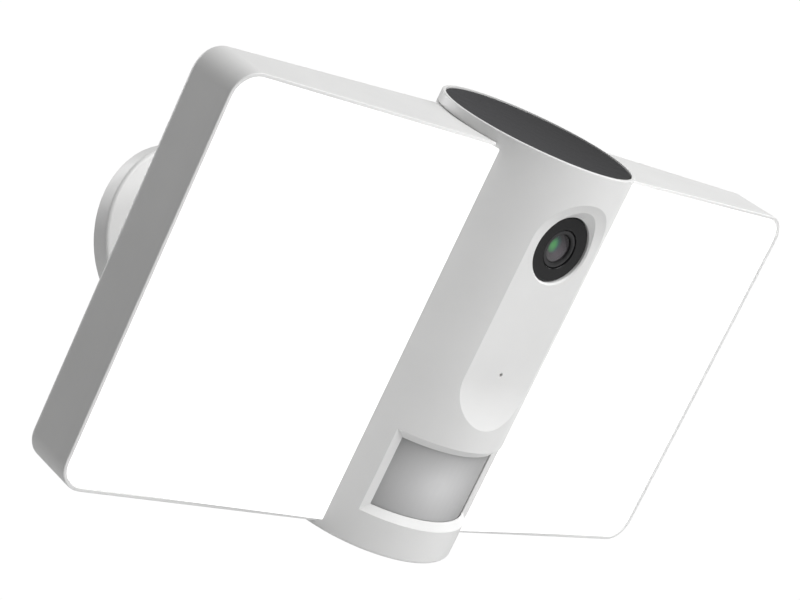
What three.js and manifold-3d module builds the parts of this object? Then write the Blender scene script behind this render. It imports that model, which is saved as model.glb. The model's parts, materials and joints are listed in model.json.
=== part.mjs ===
// Floodlight security camera: a round wall base, a swivelling arm, a tilt knuckle and a lamp head with
// two lit wings either side of a camera column.
// Millimetres. The row frame stands on the wall: origin at the centre of the wall plate's back face,
// +Y into the wall, -Y out of it, +Z up, +X to the right of a viewer who faces the lamp.
// The head is drawn in its own frame (x right, y back, z up, y = 0 at the wings' outer front edges)
// and hung on the tilt axis by one group.
import * as THREE from "three";
import { mergeVertices } from "three/addons/utils/BufferGeometryUtils.js";
import Module from "manifold-3d";

const wasm = await Module();
wasm.setup();

// ---------------------------------------------------------------- driving sizes

const GAP = 0.3; // clearance between neighbouring solids
const WALL = 2.4; // plastic wall of the head

const PANEL = { width: 280, height: 143.2, endDepth: 21.6, frontBow: 7.6, backBow: 8.7, corner: 9.5 };
const COLUMN = { radius: 36, y: 9, belowPanel: 2, underPanelTop: 0.2 };
const COVER = { rise: 3.8, rim: 1.2, disc: 0.9, lip: 0.4, plate: 1.5, spigot: 4, spigotWall: 1.8 };
const WINDOW = { fromLow: 12.9, height: 31.5, halfAngle: 47.7, bevel: 2, slant: 2.7 };
const MOTION_LENS = { wall: 1.6, margin: 1, sweepPast: 2 };
const POCKET = { halfWidth: 16.5, aboveWindow: 8.5, underTop: 6.6, wall: 2.2, steps: 10 };
const LENS = { underPocketTop: 18.6, radius: 11.9, recess: 1.1, ringRadius: 6.7, glassRadius: 5 };
const BEZEL = { depth: 3.4, ringDrop: 0.4, chamfer: 0.4, ringLand: 1 };
const CAMERA = { barrel: 11.6, glassDrop: 0.9, glassDepth: 4, bodyHalf: 10, bodyDepth: 7, boardHalf: 14 };
const PIN_HOLE = { abovePocketLow: 19.7, radius: 0.7 };
const BOARD_DEPTH = 1.2; // small circuit boards
const MAIN_BOARD = { halfWidth: 25, y: 2.5, depth: 1.6, fromLow: 17.6, underSensor: 5.2 };
const MOTION = { halfWidth: 12, halfHeight: 11, y: -9, sensorRadius: 4.1, sensorDepth: 4.3 };
const MICROPHONE = { radius: 2.4, depth: 2.2 };
const DRIVER_BOARD = { halfWidth: 19, y: 27, depth: 1.6, halfHeight: 36 };
const TRANSFORMER = { halfWidth: 11, depth: 13.7, low: -26, high: -8 };
const CAPACITOR = { x: 6, radius: 6.2, low: 2, high: 24 };
const ANTENNA = { halfWidth: 15, y: 20, depth: 0.8, height: 8, underTop: 11.4 };
const RIM = 1.2; // the housing's front lip around the diffuser
const DIFFUSER = { sunk: 0.4, depth: 2.6, proud: 2.6 };
const FRAME = { width: 3.2, depth: 2 };
const GASKET = { width: 2.4, depth: 1 };
const REFLECTOR = { depth: 6.6, wall: 1.2 };
const LED_BOARD = { depth: 1.6, margin: 2.5 };
const CHIP = { size: 3, depth: 0.9, sunk: 0.6, columns: 4, rows: 5, fromColumn: 14, fromEdge: 16 };
const HEAT_PLATE = { depth: 2, margin: 1.2 };
const WING_SCREW = { y: 18, z: 40, radius: 1.7, head: 3.2, headDepth: 2.2, length: 9 };

const PIVOT_Y = 73.5; // tilt axis behind the head's own y = 0
const TILT_REST = 26; // degrees that the head looks down at rest
const KNUCKLE = { radius: 13, tongue: 12, lug: 6, rootGap: 1.5 };
const BOLT = { radius: 4, head: 6.5, headDepth: 4, hexKey: 2.6, hexFloor: 1.6, pastNut: 1 };
const WASHER = { radius: 8.5, depth: 1 };
const NUT = { radius: 7.2, depth: 5 };
const NECK = { flange: 21, flangeDepth: 6, height: 26 };
const NECK_SCREW = { z: 8, radius: 2, head: 3.6, headDepth: 2.7, length: 12 };

const BASE = { radius: 38.2, depth: 8.6, wall: 2.2, chamfer: 1.2, hubRadius: 25, hubTop: 21, hubDepth: 18 };
const COVER_SCREW = { radius: 1.6, reach: 3, sunk: 0.4, fromFace: 4.7 };
const TERMINALS = { halfWidth: 9, depth: 4.2, low: -29.5, high: -20.5, wireway: 1.3, pitch: 6 };
const PLATE = { depth: 1.8, wireHole: 7.5, wireZ: 20, slotX: 25, slotRadius: 2.6, slotLength: 8 };
const GROMMET = { bore: 4.5, flange: 2, collar: 2 };
const WALL_GASKET = { depth: 1.5, width: 4.2 };
const ARM = { toBase: 87, stem: 9, root: 11, rootLength: 20, taper: 6, inBase: 2, bore: 4, boreFrom: 64 };
const TONGUE = { lead: 3, overlap: 4, inset: 0.6 };
const COLLAR = { radius: 17, depth: 6 };
const FRICTION_WASHER = 1.2;
const RETAINER = { radius: 15, depth: 2.4 };

const FLAP = { width: 22, length: 13, y: 20, depth: 1.8, pin: 0.5, knuckle: 1.2, notch: 4, notchDepth: 0.8 };
const FLAP_PIN_REACH = 2.6; // past each side of the flap
const BUTTON = { x: 5, radius: 2.2, length: 4.5, guard: 0.9 };
const CARD_SOCKET = { x0: -9, x1: 0, depth: 8, height: 14, slotInset: 1, slotWidth: 1, slotEnd: 3 };
const SERVICE_BOARD = { halfWidth: 12, height: 20 };
const SPEAKER = { y: -8, radius: 11, depth: 6, hole: 1.2, ring: 5.5, holes: 6 };

const COLUMN_SIDES = 60;
const FINE = 24;
const COARSE = 12;

// ---------------------------------------------------------------- worked-out places

const halfWidth = PANEL.width / 2;
const halfHeight = PANEL.height / 2;
const EXTENT = PANEL.width; // reaches past every piece, for cutters
const columnLow = -halfHeight - COLUMN.belowPanel;
const columnTop = halfHeight - COLUMN.underPanelTop;
const coverTop = halfHeight + COVER.rise;
const columnInner = COLUMN.radius - WALL;
const windowLow = columnLow + WINDOW.fromLow;
const windowHigh = windowLow + WINDOW.height;
const pocketLow = windowHigh + POCKET.aboveWindow;
const pocketHigh = columnTop - POCKET.underTop;
const pocketFloor = COLUMN.y - Math.sqrt(COLUMN.radius ** 2 - POCKET.halfWidth ** 2);
const lensZ = pocketHigh - LENS.underPocketTop;
const lensFace = pocketFloor + LENS.recess;
const pinHoleZ = pocketLow + PIN_HOLE.abovePocketLow;
const columnBack = COLUMN.y + COLUMN.radius;
const basePivotY = -(BASE.depth + ARM.toBase);
const lugInner = KNUCKLE.tongue / 2 + GAP;
const lugOuter = lugInner + KNUCKLE.lug;
const capLedge = coverTop - COVER.lip - COVER.disc - GAP;
const hubFace = -BASE.depth - BASE.hubDepth;
const screwHoleY = -BASE.depth + COVER_SCREW.fromFace;
const sealOuter = BASE.radius - BASE.wall - GAP;
const sealInner = sealOuter - WALL_GASKET.width;
const radians = THREE.MathUtils.degToRad;

// ---------------------------------------------------------------- solids

function solid(geometry) {
  const bare = geometry.index ? geometry.toNonIndexed() : geometry.clone();
  for (const name of Object.keys(bare.attributes)) if (name !== "position") bare.deleteAttribute(name);
  const merged = mergeVertices(bare, 1e-4);
  const vertProperties = new Float32Array(merged.attributes.position.array);
  const triVerts = new Uint32Array(merged.index.array);
  return new wasm.Manifold(new wasm.Mesh({ numProp: 3, vertProperties, triVerts }));
}

function moved(geometry, x, y, z) {
  return solid(geometry.translate(x, y, z));
}

function box(x0, x1, y0, y1, z0, z1) {
  const geometry = new THREE.BoxGeometry(x1 - x0, y1 - y0, z1 - z0);
  return moved(geometry, (x0 + x1) / 2, (y0 + y1) / 2, (z0 + z1) / 2);
}

// Round bars along each axis, from the lower to the higher end.
function barX(radius, x0, x1, y, z, sides = COARSE) {
  const geometry = new THREE.CylinderGeometry(radius, radius, x1 - x0, sides).rotateZ(Math.PI / 2);
  return moved(geometry, (x0 + x1) / 2, y, z);
}

function barY(radius, x, y0, y1, z, sides = COARSE) {
  return moved(new THREE.CylinderGeometry(radius, radius, y1 - y0, sides), x, (y0 + y1) / 2, z);
}

function barZ(radius, x, y, z0, z1, sides = COARSE) {
  const geometry = new THREE.CylinderGeometry(radius, radius, z1 - z0, sides).rotateX(Math.PI / 2);
  return moved(geometry, x, y, (z0 + z1) / 2);
}

function ringY(outer, inner, x, y0, y1, z, sides = COARSE) {
  return barY(outer, x, y0, y1, z, sides).subtract(barY(inner, x, y0 - 1, y1 + 1, z, sides));
}

// A profile of [radius, y] points turned about the Y axis.
function turned(profile, sides = FINE) {
  const points = profile.map(([radius, y]) => new THREE.Vector2(radius, y));
  return solid(new THREE.LatheGeometry(points, sides));
}

// A plan of [x, y] points extruded up Z.
function extrudedZ(plan, z0, z1) {
  const shape = new THREE.Shape(plan.map(([x, y]) => new THREE.Vector2(x, y)));
  return moved(new THREE.ExtrudeGeometry(shape, { depth: z1 - z0, bevelEnabled: false }), 0, 0, z0);
}

// A side view of [y, z] points extruded along X.
function extrudedX(side, x0, x1) {
  const shape = new THREE.Shape(side.map(([y, z]) => new THREE.Vector2(y, z)));
  const geometry = new THREE.ExtrudeGeometry(shape, { depth: x1 - x0, bevelEnabled: false });
  geometry.rotateX(Math.PI / 2).rotateZ(Math.PI / 2);
  return moved(geometry, x0, 0, 0);
}

function column(radius, z0, z1, sides = COLUMN_SIDES) {
  return barZ(radius, 0, COLUMN.y, z0, z1, sides);
}

// ---------------------------------------------------------------- materials

function material(color, roughness, metalness = 0) {
  return new THREE.MeshStandardMaterial({ color, roughness, metalness });
}

const WHITE = material(0xe9e9e7, 0.5);
const TRIM = material(0xf4f4f2, 0.45);
const GLOW = material(0xffffff, 0.35);
const DARK = material(0x46464a, 0.45);
const BLACK = material(0x141416, 0.3);
const GLASS = material(0x10161a, 0.05);
const FROSTED = material(0xbfc0c0, 0.55);
const RUBBER = material(0x3a3a3c, 0.8);
const STEEL = material(0xb8babd, 0.35, 1);
const ALUMINIUM = material(0xc9ccd0, 0.4, 1);
const BOARD = material(0x1f5a3a, 0.6);
const REFLECTIVE = material(0xfafafa, 0.6);

const lamp = new THREE.Group();
const head = new THREE.Group();
head.position.set(0, basePivotY, 0);
head.rotation.x = radians(TILT_REST);
const headPieces = new THREE.Group();
headPieces.position.y = -PIVOT_Y;
head.add(headPieces);
lamp.add(head);

function add(group, name, piece, look) {
  const mesh = piece.getMesh();
  const geometry = new THREE.BufferGeometry();
  geometry.setAttribute("position", new THREE.BufferAttribute(mesh.vertProperties, 3));
  geometry.setIndex(new THREE.BufferAttribute(mesh.triVerts, 1));
  geometry.computeVertexNormals();
  const node = new THREE.Mesh(geometry, look);
  node.name = name;
  group.add(node);
}

// ---------------------------------------------------------------- wall base

function wallPlate() {
  const slot = (x) => {
    const half = PLATE.slotLength / 2;
    const bar = box(x - PLATE.slotRadius, x + PLATE.slotRadius, -EXTENT, EXTENT, -half, half);
    const ends = [-half, half].map((z) => barY(PLATE.slotRadius, x, -EXTENT, EXTENT, z));
    return bar.add(ends[0]).add(ends[1]);
  };
  return barY(sealInner - GAP, 0, -PLATE.depth, 0, 0, FINE)
    .subtract(barY(PLATE.wireHole, 0, -EXTENT, EXTENT, PLATE.wireZ))
    .subtract(slot(PLATE.slotX))
    .subtract(slot(-PLATE.slotX));
}

function baseCover() {
  const face = -BASE.depth;
  const inner = BASE.radius - BASE.wall;
  const bore = ARM.root + GAP;
  const shell = turned([
    [bore, hubFace],
    [BASE.hubTop, hubFace],
    [BASE.hubRadius, face],
    [BASE.radius - BASE.chamfer, face],
    [BASE.radius, face + BASE.chamfer],
    [BASE.radius, -GAP],
    [inner, -GAP],
    [inner, face + BASE.wall],
    [BASE.hubRadius - BASE.wall, face + BASE.wall],
    [BASE.hubTop - BASE.wall, hubFace + BASE.wall],
    [bore, hubFace + BASE.wall],
    [bore, hubFace],
  ]);
  const screwHole = barZ(COVER_SCREW.radius + GAP, 0, screwHoleY, -BASE.radius - 1, -inner + 1, 16);
  return shell.subtract(screwHole);
}

function terminalBlock() {
  const { halfWidth: half, depth, low, high, wireway, pitch } = TERMINALS;
  const back = -PLATE.depth - GAP;
  let block = box(-half, half, back - depth, back, low, high);
  for (const x of [-pitch, 0, pitch]) {
    block = block.subtract(barZ(wireway, x, back - depth / 2, low - 1, high + 1));
  }
  return block;
}

function addBase() {
  add(lamp, "wall_plate", wallPlate(), STEEL);
  const gasket = ringY(sealOuter, sealInner, 0, -WALL_GASKET.depth, 0, 0, FINE);
  add(lamp, "wall_gasket", gasket, RUBBER);
  add(lamp, "base_cover", baseCover(), WHITE);
  const screwTip = -BASE.radius + BASE.wall + COVER_SCREW.reach;
  const screw = barZ(COVER_SCREW.radius, 0, screwHoleY, -BASE.radius + COVER_SCREW.sunk, screwTip, 16);
  add(lamp, "cover_screw", screw, STEEL);
  add(lamp, "terminal_block", terminalBlock(), BLACK);
  const hole = PLATE.wireHole - GAP;
  const { bore, flange, collar } = GROMMET;
  const grommet = turned([
    [bore, -PLATE.depth - collar],
    [hole + flange, -PLATE.depth - collar],
    [hole + flange, -PLATE.depth - GAP],
    [hole, -PLATE.depth - GAP],
    [hole, -GAP],
    [bore, -GAP],
    [bore, -PLATE.depth - collar],
  ], COARSE).translate([0, 0, PLATE.wireZ]);
  add(lamp, "cable_grommet", grommet, RUBBER);
}

// ---------------------------------------------------------------- arm

function armStem() {
  const inner = -BASE.depth + ARM.inBase;
  const rootEnd = hubFace - ARM.rootLength;
  const tongueRoot = basePivotY + KNUCKLE.radius + TONGUE.lead;
  const stem = turned([
    [0, tongueRoot],
    [ARM.stem, tongueRoot],
    [ARM.stem, rootEnd - ARM.taper],
    [ARM.root, rootEnd],
    [ARM.root, inner],
    [0, inner],
  ]);
  const half = KNUCKLE.tongue / 2;
  const height = ARM.stem - TONGUE.inset;
  const tongue = box(-half, half, basePivotY, tongueRoot + TONGUE.overlap, -height, height);
  const eye = barX(KNUCKLE.radius, -half, half, basePivotY, 0, FINE);
  const boltHole = barX(BOLT.radius + GAP, -EXTENT, EXTENT, basePivotY, 0);
  const bore = barY(ARM.bore, 0, inner - ARM.boreFrom, inner + 1, 0);
  return stem.add(tongue).add(eye).subtract(boltHole).subtract(bore);
}

function addArm() {
  add(lamp, "arm_stem", armStem(), WHITE);
  const collarInner = ARM.root + GAP;
  const collarY = hubFace - GAP;
  const collar = ringY(COLLAR.radius, collarInner, 0, collarY - COLLAR.depth, collarY, 0, FINE);
  add(lamp, "swivel_collar", collar, WHITE);
  const washerY = hubFace + BASE.wall + GAP;
  const washer = ringY(RETAINER.radius, collarInner, 0, washerY, washerY + FRICTION_WASHER, 0, FINE);
  add(lamp, "friction_washer", washer, RUBBER);
  const clipY = washerY + FRICTION_WASHER + GAP;
  const clip = ringY(RETAINER.radius, collarInner, 0, clipY, clipY + RETAINER.depth, 0, FINE);
  add(lamp, "stem_retainer", clip, STEEL);
}

// ---------------------------------------------------------------- tilt knuckle

function neckSocket() {
  const half = NECK.height / 2;
  const blockEnd = PIVOT_Y - KNUCKLE.radius - KNUCKLE.rootGap;
  const block = box(-lugOuter, lugOuter, COLUMN.y, blockEnd, -half, half);
  const flange = barY(NECK.flange, 0, COLUMN.y, columnBack + NECK.flangeDepth, 0, FINE);
  const lug = (x) => {
    const plate = box(x, x + KNUCKLE.lug, blockEnd - 1, PIVOT_Y, -half, half);
    return plate.add(barX(KNUCKLE.radius, x, x + KNUCKLE.lug, PIVOT_Y, 0, FINE));
  };
  const boltHole = barX(BOLT.radius + GAP, -EXTENT, EXTENT, PIVOT_Y, 0);
  let neck = block.add(flange).add(lug(lugInner)).add(lug(-lugOuter)).subtract(boltHole);
  const screwEnd = columnBack - WALL + NECK_SCREW.length + 1;
  for (const z of [-NECK_SCREW.z, NECK_SCREW.z]) {
    neck = neck.subtract(barY(NECK_SCREW.radius + GAP, 0, COLUMN.y, screwEnd, z));
  }
  return neck.subtract(column(COLUMN.radius + GAP, -EXTENT, EXTENT));
}

function addKnuckle() {
  add(headPieces, "neck_socket", neckSocket(), WHITE);
  const screwFrom = COLUMN.y + columnInner - GAP;
  for (const [name, z] of [["neck_screw_lower", -NECK_SCREW.z], ["neck_screw_upper", NECK_SCREW.z]]) {
    const headEnd = barY(NECK_SCREW.head, 0, screwFrom - NECK_SCREW.headDepth, screwFrom, z);
    const shank = barY(NECK_SCREW.radius, 0, screwFrom - 1, screwFrom + NECK_SCREW.length, z);
    add(headPieces, name, headEnd.add(shank), STEEL);
  }
  const washerFrom = lugOuter + GAP;
  const washerTo = washerFrom + WASHER.depth;
  const boltTo = washerTo + GAP;
  for (const [name, x0, x1] of [
    ["tilt_washer_left", -washerTo, -washerFrom],
    ["tilt_washer_right", washerFrom, washerTo],
  ]) {
    const hole = barX(BOLT.radius + GAP, x0 - 1, x1 + 1, PIVOT_Y, 0);
    add(headPieces, name, barX(WASHER.radius, x0, x1, PIVOT_Y, 0).subtract(hole), STEEL);
  }
  const headEnd = barX(BOLT.head, -boltTo - BOLT.headDepth, -boltTo, PIVOT_Y, 0);
  const shank = barX(BOLT.radius, -boltTo - 1, boltTo + NUT.depth + BOLT.pastNut, PIVOT_Y, 0);
  const socket = barX(BOLT.hexKey, -boltTo - BOLT.headDepth - 1, -boltTo - BOLT.hexFloor, PIVOT_Y, 0, 6);
  add(headPieces, "tilt_bolt", headEnd.add(shank).subtract(socket), STEEL);
  const nutHole = barX(BOLT.radius + GAP, 0, EXTENT, PIVOT_Y, 0);
  const nut = barX(NUT.radius, boltTo, boltTo + NUT.depth, PIVOT_Y, 0, 6).subtract(nutHole);
  add(headPieces, "tilt_nut", nut, STEEL);
}

// ---------------------------------------------------------------- camera column

// The pocket's floor is flat and meets the round column along its two sides. At its ends it runs out
// through the column's face along a half circle as seen from the front.
function pocketCut() {
  const low = pocketLow + POCKET.halfWidth;
  const high = pocketHigh - POCKET.halfWidth;
  const { steps } = POCKET;
  const floorAt = (offset) => {
    const flat = COLUMN.radius ** 2 - POCKET.halfWidth ** 2;
    return COLUMN.y - Math.sqrt(flat + offset ** 2);
  };
  const reach = POCKET.halfWidth + 3;
  const side = [];
  for (let i = 0; i <= steps; i++) {
    const offset = reach * (1 - i / steps);
    side.push([floorAt(offset), low - offset]);
  }
  for (let i = 0; i <= steps; i++) {
    const offset = (reach * i) / steps;
    side.push([floorAt(offset), high + offset]);
  }
  const front = COLUMN.y - COLUMN.radius - 5;
  side.push([front, high + reach], [front, low - reach]);
  return extrudedX(side, -POCKET.halfWidth - 2, POCKET.halfWidth + 2);
}

function pocketBacking() {
  const width = POCKET.halfWidth + 2;
  const back = pocketFloor + POCKET.wall;
  const slab = box(-width, width, -EXTENT, back, pocketLow, pocketHigh);
  return slab.intersect(column(COLUMN.radius - 0.5, -EXTENT, EXTENT));
}

function windowPlan(radius, halfAngle, from) {
  const at = (angle, r) => [r * Math.sin(angle), COLUMN.y - r * Math.cos(angle)];
  const half = radians(halfAngle);
  const slope = WINDOW.slant / WINDOW.bevel;
  const inset = ((from - radius) * slope) / radius;
  const far = from + 4;
  const farHalf = half + (4 * slope) / radius;
  return [
    at(-half + inset, radius), at(-half, from), at(-farHalf, far),
    [-far, COLUMN.y - far - 20], [far, COLUMN.y - far - 20],
    at(farHalf, far), at(half, from), at(half - inset, radius),
    at(half - inset, radius * 0.4), at(-half + inset, radius * 0.4),
  ];
}

// The opening narrows inwards on all four sides, down to the flat land that the lens sits behind.
function windowCut() {
  const outer = COLUMN.radius;
  const land = outer - WINDOW.bevel;
  const plan = extrudedZ(windowPlan(land, WINDOW.halfAngle, outer), windowLow - 9, windowHigh + 9);
  const low = windowLow + WINDOW.slant;
  const high = windowHigh - WINDOW.slant;
  const past = WINDOW.slant + (4 * WINDOW.slant) / WINDOW.bevel;
  const profile = [
    [0, low], [land, low], [outer + 4, low - past],
    [outer + 4, high + past], [land, high], [0, high],
  ];
  const points = profile.map(([radius, z]) => new THREE.Vector2(radius, z));
  const ring = new THREE.LatheGeometry(points, COLUMN_SIDES).rotateX(Math.PI / 2);
  return moved(ring, 0, COLUMN.y, 0).intersect(plan);
}

function columnTube(top) {
  return column(COLUMN.radius, columnLow, top).subtract(column(columnInner, columnLow + WALL, top + 1));
}

function wingScrewHoles() {
  const reach = columnInner + WING_SCREW.length + 1;
  const radius = WING_SCREW.radius + GAP;
  const holes = [-WING_SCREW.z, WING_SCREW.z].map((z) => barX(radius, -reach, reach, WING_SCREW.y, z));
  return holes[0].add(holes[1]);
}

// The front shell ends in a full round collar above the wings, rebated inside for the cap disc.
function columnFrontShell() {
  const front = box(-EXTENT, EXTENT, -EXTENT, COLUMN.y - GAP / 2, -EXTENT, columnTop + GAP);
  const collar = box(-EXTENT, EXTENT, -EXTENT, EXTENT, columnTop + GAP, EXTENT);
  let shell = columnTube(coverTop).add(pocketBacking()).intersect(front.add(collar));
  shell = shell.subtract(pocketCut()).subtract(column(COLUMN.radius - COVER.rim, capLedge, EXTENT));
  const bore = LENS.radius + GAP;
  shell = shell.subtract(barY(bore, 0, -EXTENT, COLUMN.y, lensZ, FINE));
  shell = shell.subtract(onLensAxis([[0, -5], [bore + 5, -5], [bore, 0], [0, 0]], pocketFloor, FINE));
  shell = shell.subtract(barY(PIN_HOLE.radius, 0, -EXTENT, COLUMN.y, pinHoleZ, 10));
  shell = shell.subtract(windowCut());
  for (let i = 0; i < SPEAKER.holes; i++) {
    const angle = (2 * Math.PI * i) / SPEAKER.holes;
    const x = SPEAKER.ring * Math.cos(angle);
    const y = SPEAKER.y + SPEAKER.ring * Math.sin(angle);
    shell = shell.subtract(barZ(SPEAKER.hole, x, y, -EXTENT, columnLow + WALL + 1, 10));
  }
  return shell;
}

function flapHinge() {
  return { y: FLAP.y + FLAP.length / 2 - FLAP.knuckle, z: columnLow + FLAP.knuckle };
}

function columnRearShell() {
  const rear = box(-EXTENT, EXTENT, COLUMN.y + GAP / 2, EXTENT, -EXTENT, EXTENT);
  const half = FLAP.width / 2 + GAP;
  const length = FLAP.length / 2 + GAP;
  const opening = box(-half, half, FLAP.y - length, FLAP.y + length, -EXTENT, columnLow + WALL + 1);
  const hinge = flapHinge();
  const pinHole = barX(FLAP.pin + GAP, -half - 3, half + 3, hinge.y, hinge.z, 12);
  let shell = columnTube(columnTop).intersect(rear).subtract(opening).subtract(pinHole);
  shell = shell.subtract(wingScrewHoles());
  for (const z of [-NECK_SCREW.z, NECK_SCREW.z]) {
    shell = shell.subtract(barY(NECK_SCREW.radius + GAP, 0, COLUMN.y, EXTENT, z));
  }
  return shell;
}

// A lid that plugs the collar and carries the cap disc.
function topCover() {
  const outer = columnInner - GAP;
  const under = capLedge - COVER.plate;
  const hollow = column(outer - COVER.spigotWall, -EXTENT, under);
  return column(outer, under - COVER.spigot, capLedge).subtract(hollow);
}

function addColumn() {
  add(headPieces, "column_front_shell", columnFrontShell(), WHITE);
  add(headPieces, "column_rear_shell", columnRearShell(), WHITE);
  add(headPieces, "top_cover", topCover(), TRIM);
  const discTop = coverTop - COVER.lip;
  const disc = column(COLUMN.radius - COVER.rim - GAP, discTop - COVER.disc, discTop);
  add(headPieces, "cap_disc", disc, DARK);
  const lensBack = columnInner - GAP;
  const { wall, margin, sweepPast } = MOTION_LENS;
  const sweep = windowPlan(lensBack, WINDOW.halfAngle + sweepPast, lensBack);
  const curved = column(lensBack, windowLow - margin, windowHigh + margin)
    .subtract(column(lensBack - wall, -EXTENT, EXTENT))
    .intersect(extrudedZ(sweep, -EXTENT, EXTENT));
  add(headPieces, "motion_lens", curved, FROSTED);
}

// ---------------------------------------------------------------- camera

// A lathed camera piece: the profile's depths run back from `from`, on the lens's own axis.
function onLensAxis(profile, from, sides) {
  const points = profile.map(([radius, y]) => new THREE.Vector2(radius, y));
  return moved(new THREE.LatheGeometry(points, sides), 0, from, lensZ);
}

function addCamera() {
  const ring = LENS.ringRadius;
  const bezel = onLensAxis([
    [ring + GAP, BEZEL.ringDrop],
    [ring + BEZEL.ringLand, 0],
    [LENS.radius - BEZEL.chamfer, 0],
    [LENS.radius, BEZEL.chamfer],
    [LENS.radius, BEZEL.depth],
    [ring + GAP, BEZEL.depth],
    [ring + GAP, BEZEL.ringDrop],
  ], lensFace, FINE);
  add(headPieces, "lens_bezel", bezel, BLACK);
  const barrelFrom = lensFace + BEZEL.ringDrop;
  const barrelTo = barrelFrom + CAMERA.barrel;
  const barrel = ringY(ring, LENS.glassRadius + GAP, 0, barrelFrom, barrelTo, lensZ, FINE);
  add(headPieces, "lens_barrel", barrel, BLACK);
  const glass = onLensAxis([
    [0, 0],
    [LENS.glassRadius * 0.5, 0.35],
    [LENS.glassRadius * 0.87, 1.1],
    [LENS.glassRadius, 1.7],
    [LENS.glassRadius, CAMERA.glassDepth],
    [0, CAMERA.glassDepth],
  ], lensFace + CAMERA.glassDrop, COARSE);
  add(headPieces, "lens_glass", glass, GLASS);
  const bodyFrom = barrelTo + GAP;
  const bodyTo = bodyFrom + CAMERA.bodyDepth;
  const square = (half, from, to) => box(-half, half, from, to, lensZ - half, lensZ + half);
  add(headPieces, "camera_body", square(CAMERA.bodyHalf, bodyFrom, bodyTo), BLACK);
  const boardFrom = bodyTo + GAP;
  const sensorBoard = square(CAMERA.boardHalf, boardFrom, boardFrom + BOARD_DEPTH);
  add(headPieces, "sensor_board", sensorBoard, BOARD);
}

// ---------------------------------------------------------------- electronics

function board(half, from, depth, low, high) {
  return box(-half, half, from, from + depth, low, high);
}

function addElectronics() {
  const windowZ = (windowLow + windowHigh) / 2;
  const motionLow = windowZ - MOTION.halfHeight;
  const motionBoard = board(MOTION.halfWidth, MOTION.y, BOARD_DEPTH, motionLow, windowZ + MOTION.halfHeight);
  add(headPieces, "motion_board", motionBoard, BOARD);
  const sensorTo = MOTION.y - GAP;
  const sensor = barY(MOTION.sensorRadius, 0, sensorTo - MOTION.sensorDepth, sensorTo, windowZ);
  add(headPieces, "motion_sensor", sensor, STEEL);
  const micFrom = pocketFloor + POCKET.wall + GAP;
  const microphone = barY(MICROPHONE.radius, 0, micFrom, micFrom + MICROPHONE.depth, pinHoleZ, 16);
  add(headPieces, "microphone", microphone, STEEL);
  const mainLow = columnLow + MAIN_BOARD.fromLow;
  const mainHigh = lensZ - CAMERA.boardHalf - MAIN_BOARD.underSensor;
  const mainBoard = board(MAIN_BOARD.halfWidth, MAIN_BOARD.y, MAIN_BOARD.depth, mainLow, mainHigh);
  add(headPieces, "main_board", mainBoard, BOARD);
  const driver = DRIVER_BOARD;
  const driverBoard = board(driver.halfWidth, driver.y, driver.depth, -driver.halfHeight, driver.halfHeight);
  add(headPieces, "driver_board", driverBoard, BOARD);
  const onDriver = driver.y - GAP;
  const { halfWidth: half, depth, low, high } = TRANSFORMER;
  add(headPieces, "power_transformer", box(-half, half, onDriver - depth, onDriver, low, high), BLACK);
  const { radius } = CAPACITOR;
  const capacitor = barZ(radius, CAPACITOR.x, onDriver - radius, CAPACITOR.low, CAPACITOR.high);
  add(headPieces, "storage_capacitor", capacitor, BLACK);
  const antennaHigh = columnTop - ANTENNA.underTop;
  const antennaLow = antennaHigh - ANTENNA.height;
  const antenna = board(ANTENNA.halfWidth, ANTENNA.y, ANTENNA.depth, antennaLow, antennaHigh);
  add(headPieces, "wifi_antenna", antenna, BOARD);
  const speakerFrom = columnLow + WALL + GAP;
  const speaker = barZ(SPEAKER.radius, 0, SPEAKER.y, speakerFrom, speakerFrom + SPEAKER.depth, FINE);
  add(headPieces, "speaker", speaker, BLACK);
}

// ---------------------------------------------------------------- service flap and reset button

function addService() {
  const hinge = flapHinge();
  const half = FLAP.width / 2;
  const front = FLAP.y - FLAP.length / 2;
  const plate = box(-half, half, front, hinge.y, columnLow, columnLow + FLAP.depth);
  const barrel = barX(FLAP.knuckle, -half, half, hinge.y, hinge.z, 16);
  const pinHole = barX(FLAP.pin + GAP, -EXTENT, EXTENT, hinge.y, hinge.z, 12);
  const notchTop = columnLow + FLAP.notchDepth;
  const notch = box(-FLAP.notch, FLAP.notch, front - 1, front + 1, columnLow - 1, notchTop);
  add(headPieces, "service_flap", plate.add(barrel).subtract(pinHole).subtract(notch), RUBBER);
  const pinReach = half + FLAP_PIN_REACH;
  add(headPieces, "flap_pin", barX(FLAP.pin, -pinReach, pinReach, hinge.y, hinge.z, 12), STEEL);
  const buttonFrom = columnLow + FLAP.depth + BUTTON.guard;
  const button = barZ(BUTTON.radius, BUTTON.x, FLAP.y - 1, buttonFrom, buttonFrom + BUTTON.length, 16);
  add(headPieces, "reset_button", button, DARK);
  const { x0, x1, depth, height, slotInset, slotWidth, slotEnd } = CARD_SOCKET;
  const socketBack = FLAP.y + depth / 2 - 1;
  const socket = box(x0, x1, socketBack - depth, socketBack, buttonFrom, buttonFrom + height);
  const slotFrom = socketBack - depth / 2 - slotWidth / 2;
  const slotTop = buttonFrom + height - slotEnd;
  const slot = box(x0 + slotInset, x1 - slotInset, slotFrom, slotFrom + slotWidth, buttonFrom - 1, slotTop);
  add(headPieces, "card_socket", socket.subtract(slot), STEEL);
  const boardLow = columnLow + WALL + GAP;
  const boardHigh = boardLow + SERVICE_BOARD.height;
  const serviceBoard = board(SERVICE_BOARD.halfWidth, socketBack + GAP, BOARD_DEPTH, boardLow, boardHigh);
  add(headPieces, "service_board", serviceBoard, BOARD);
}

// ---------------------------------------------------------------- wings

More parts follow.
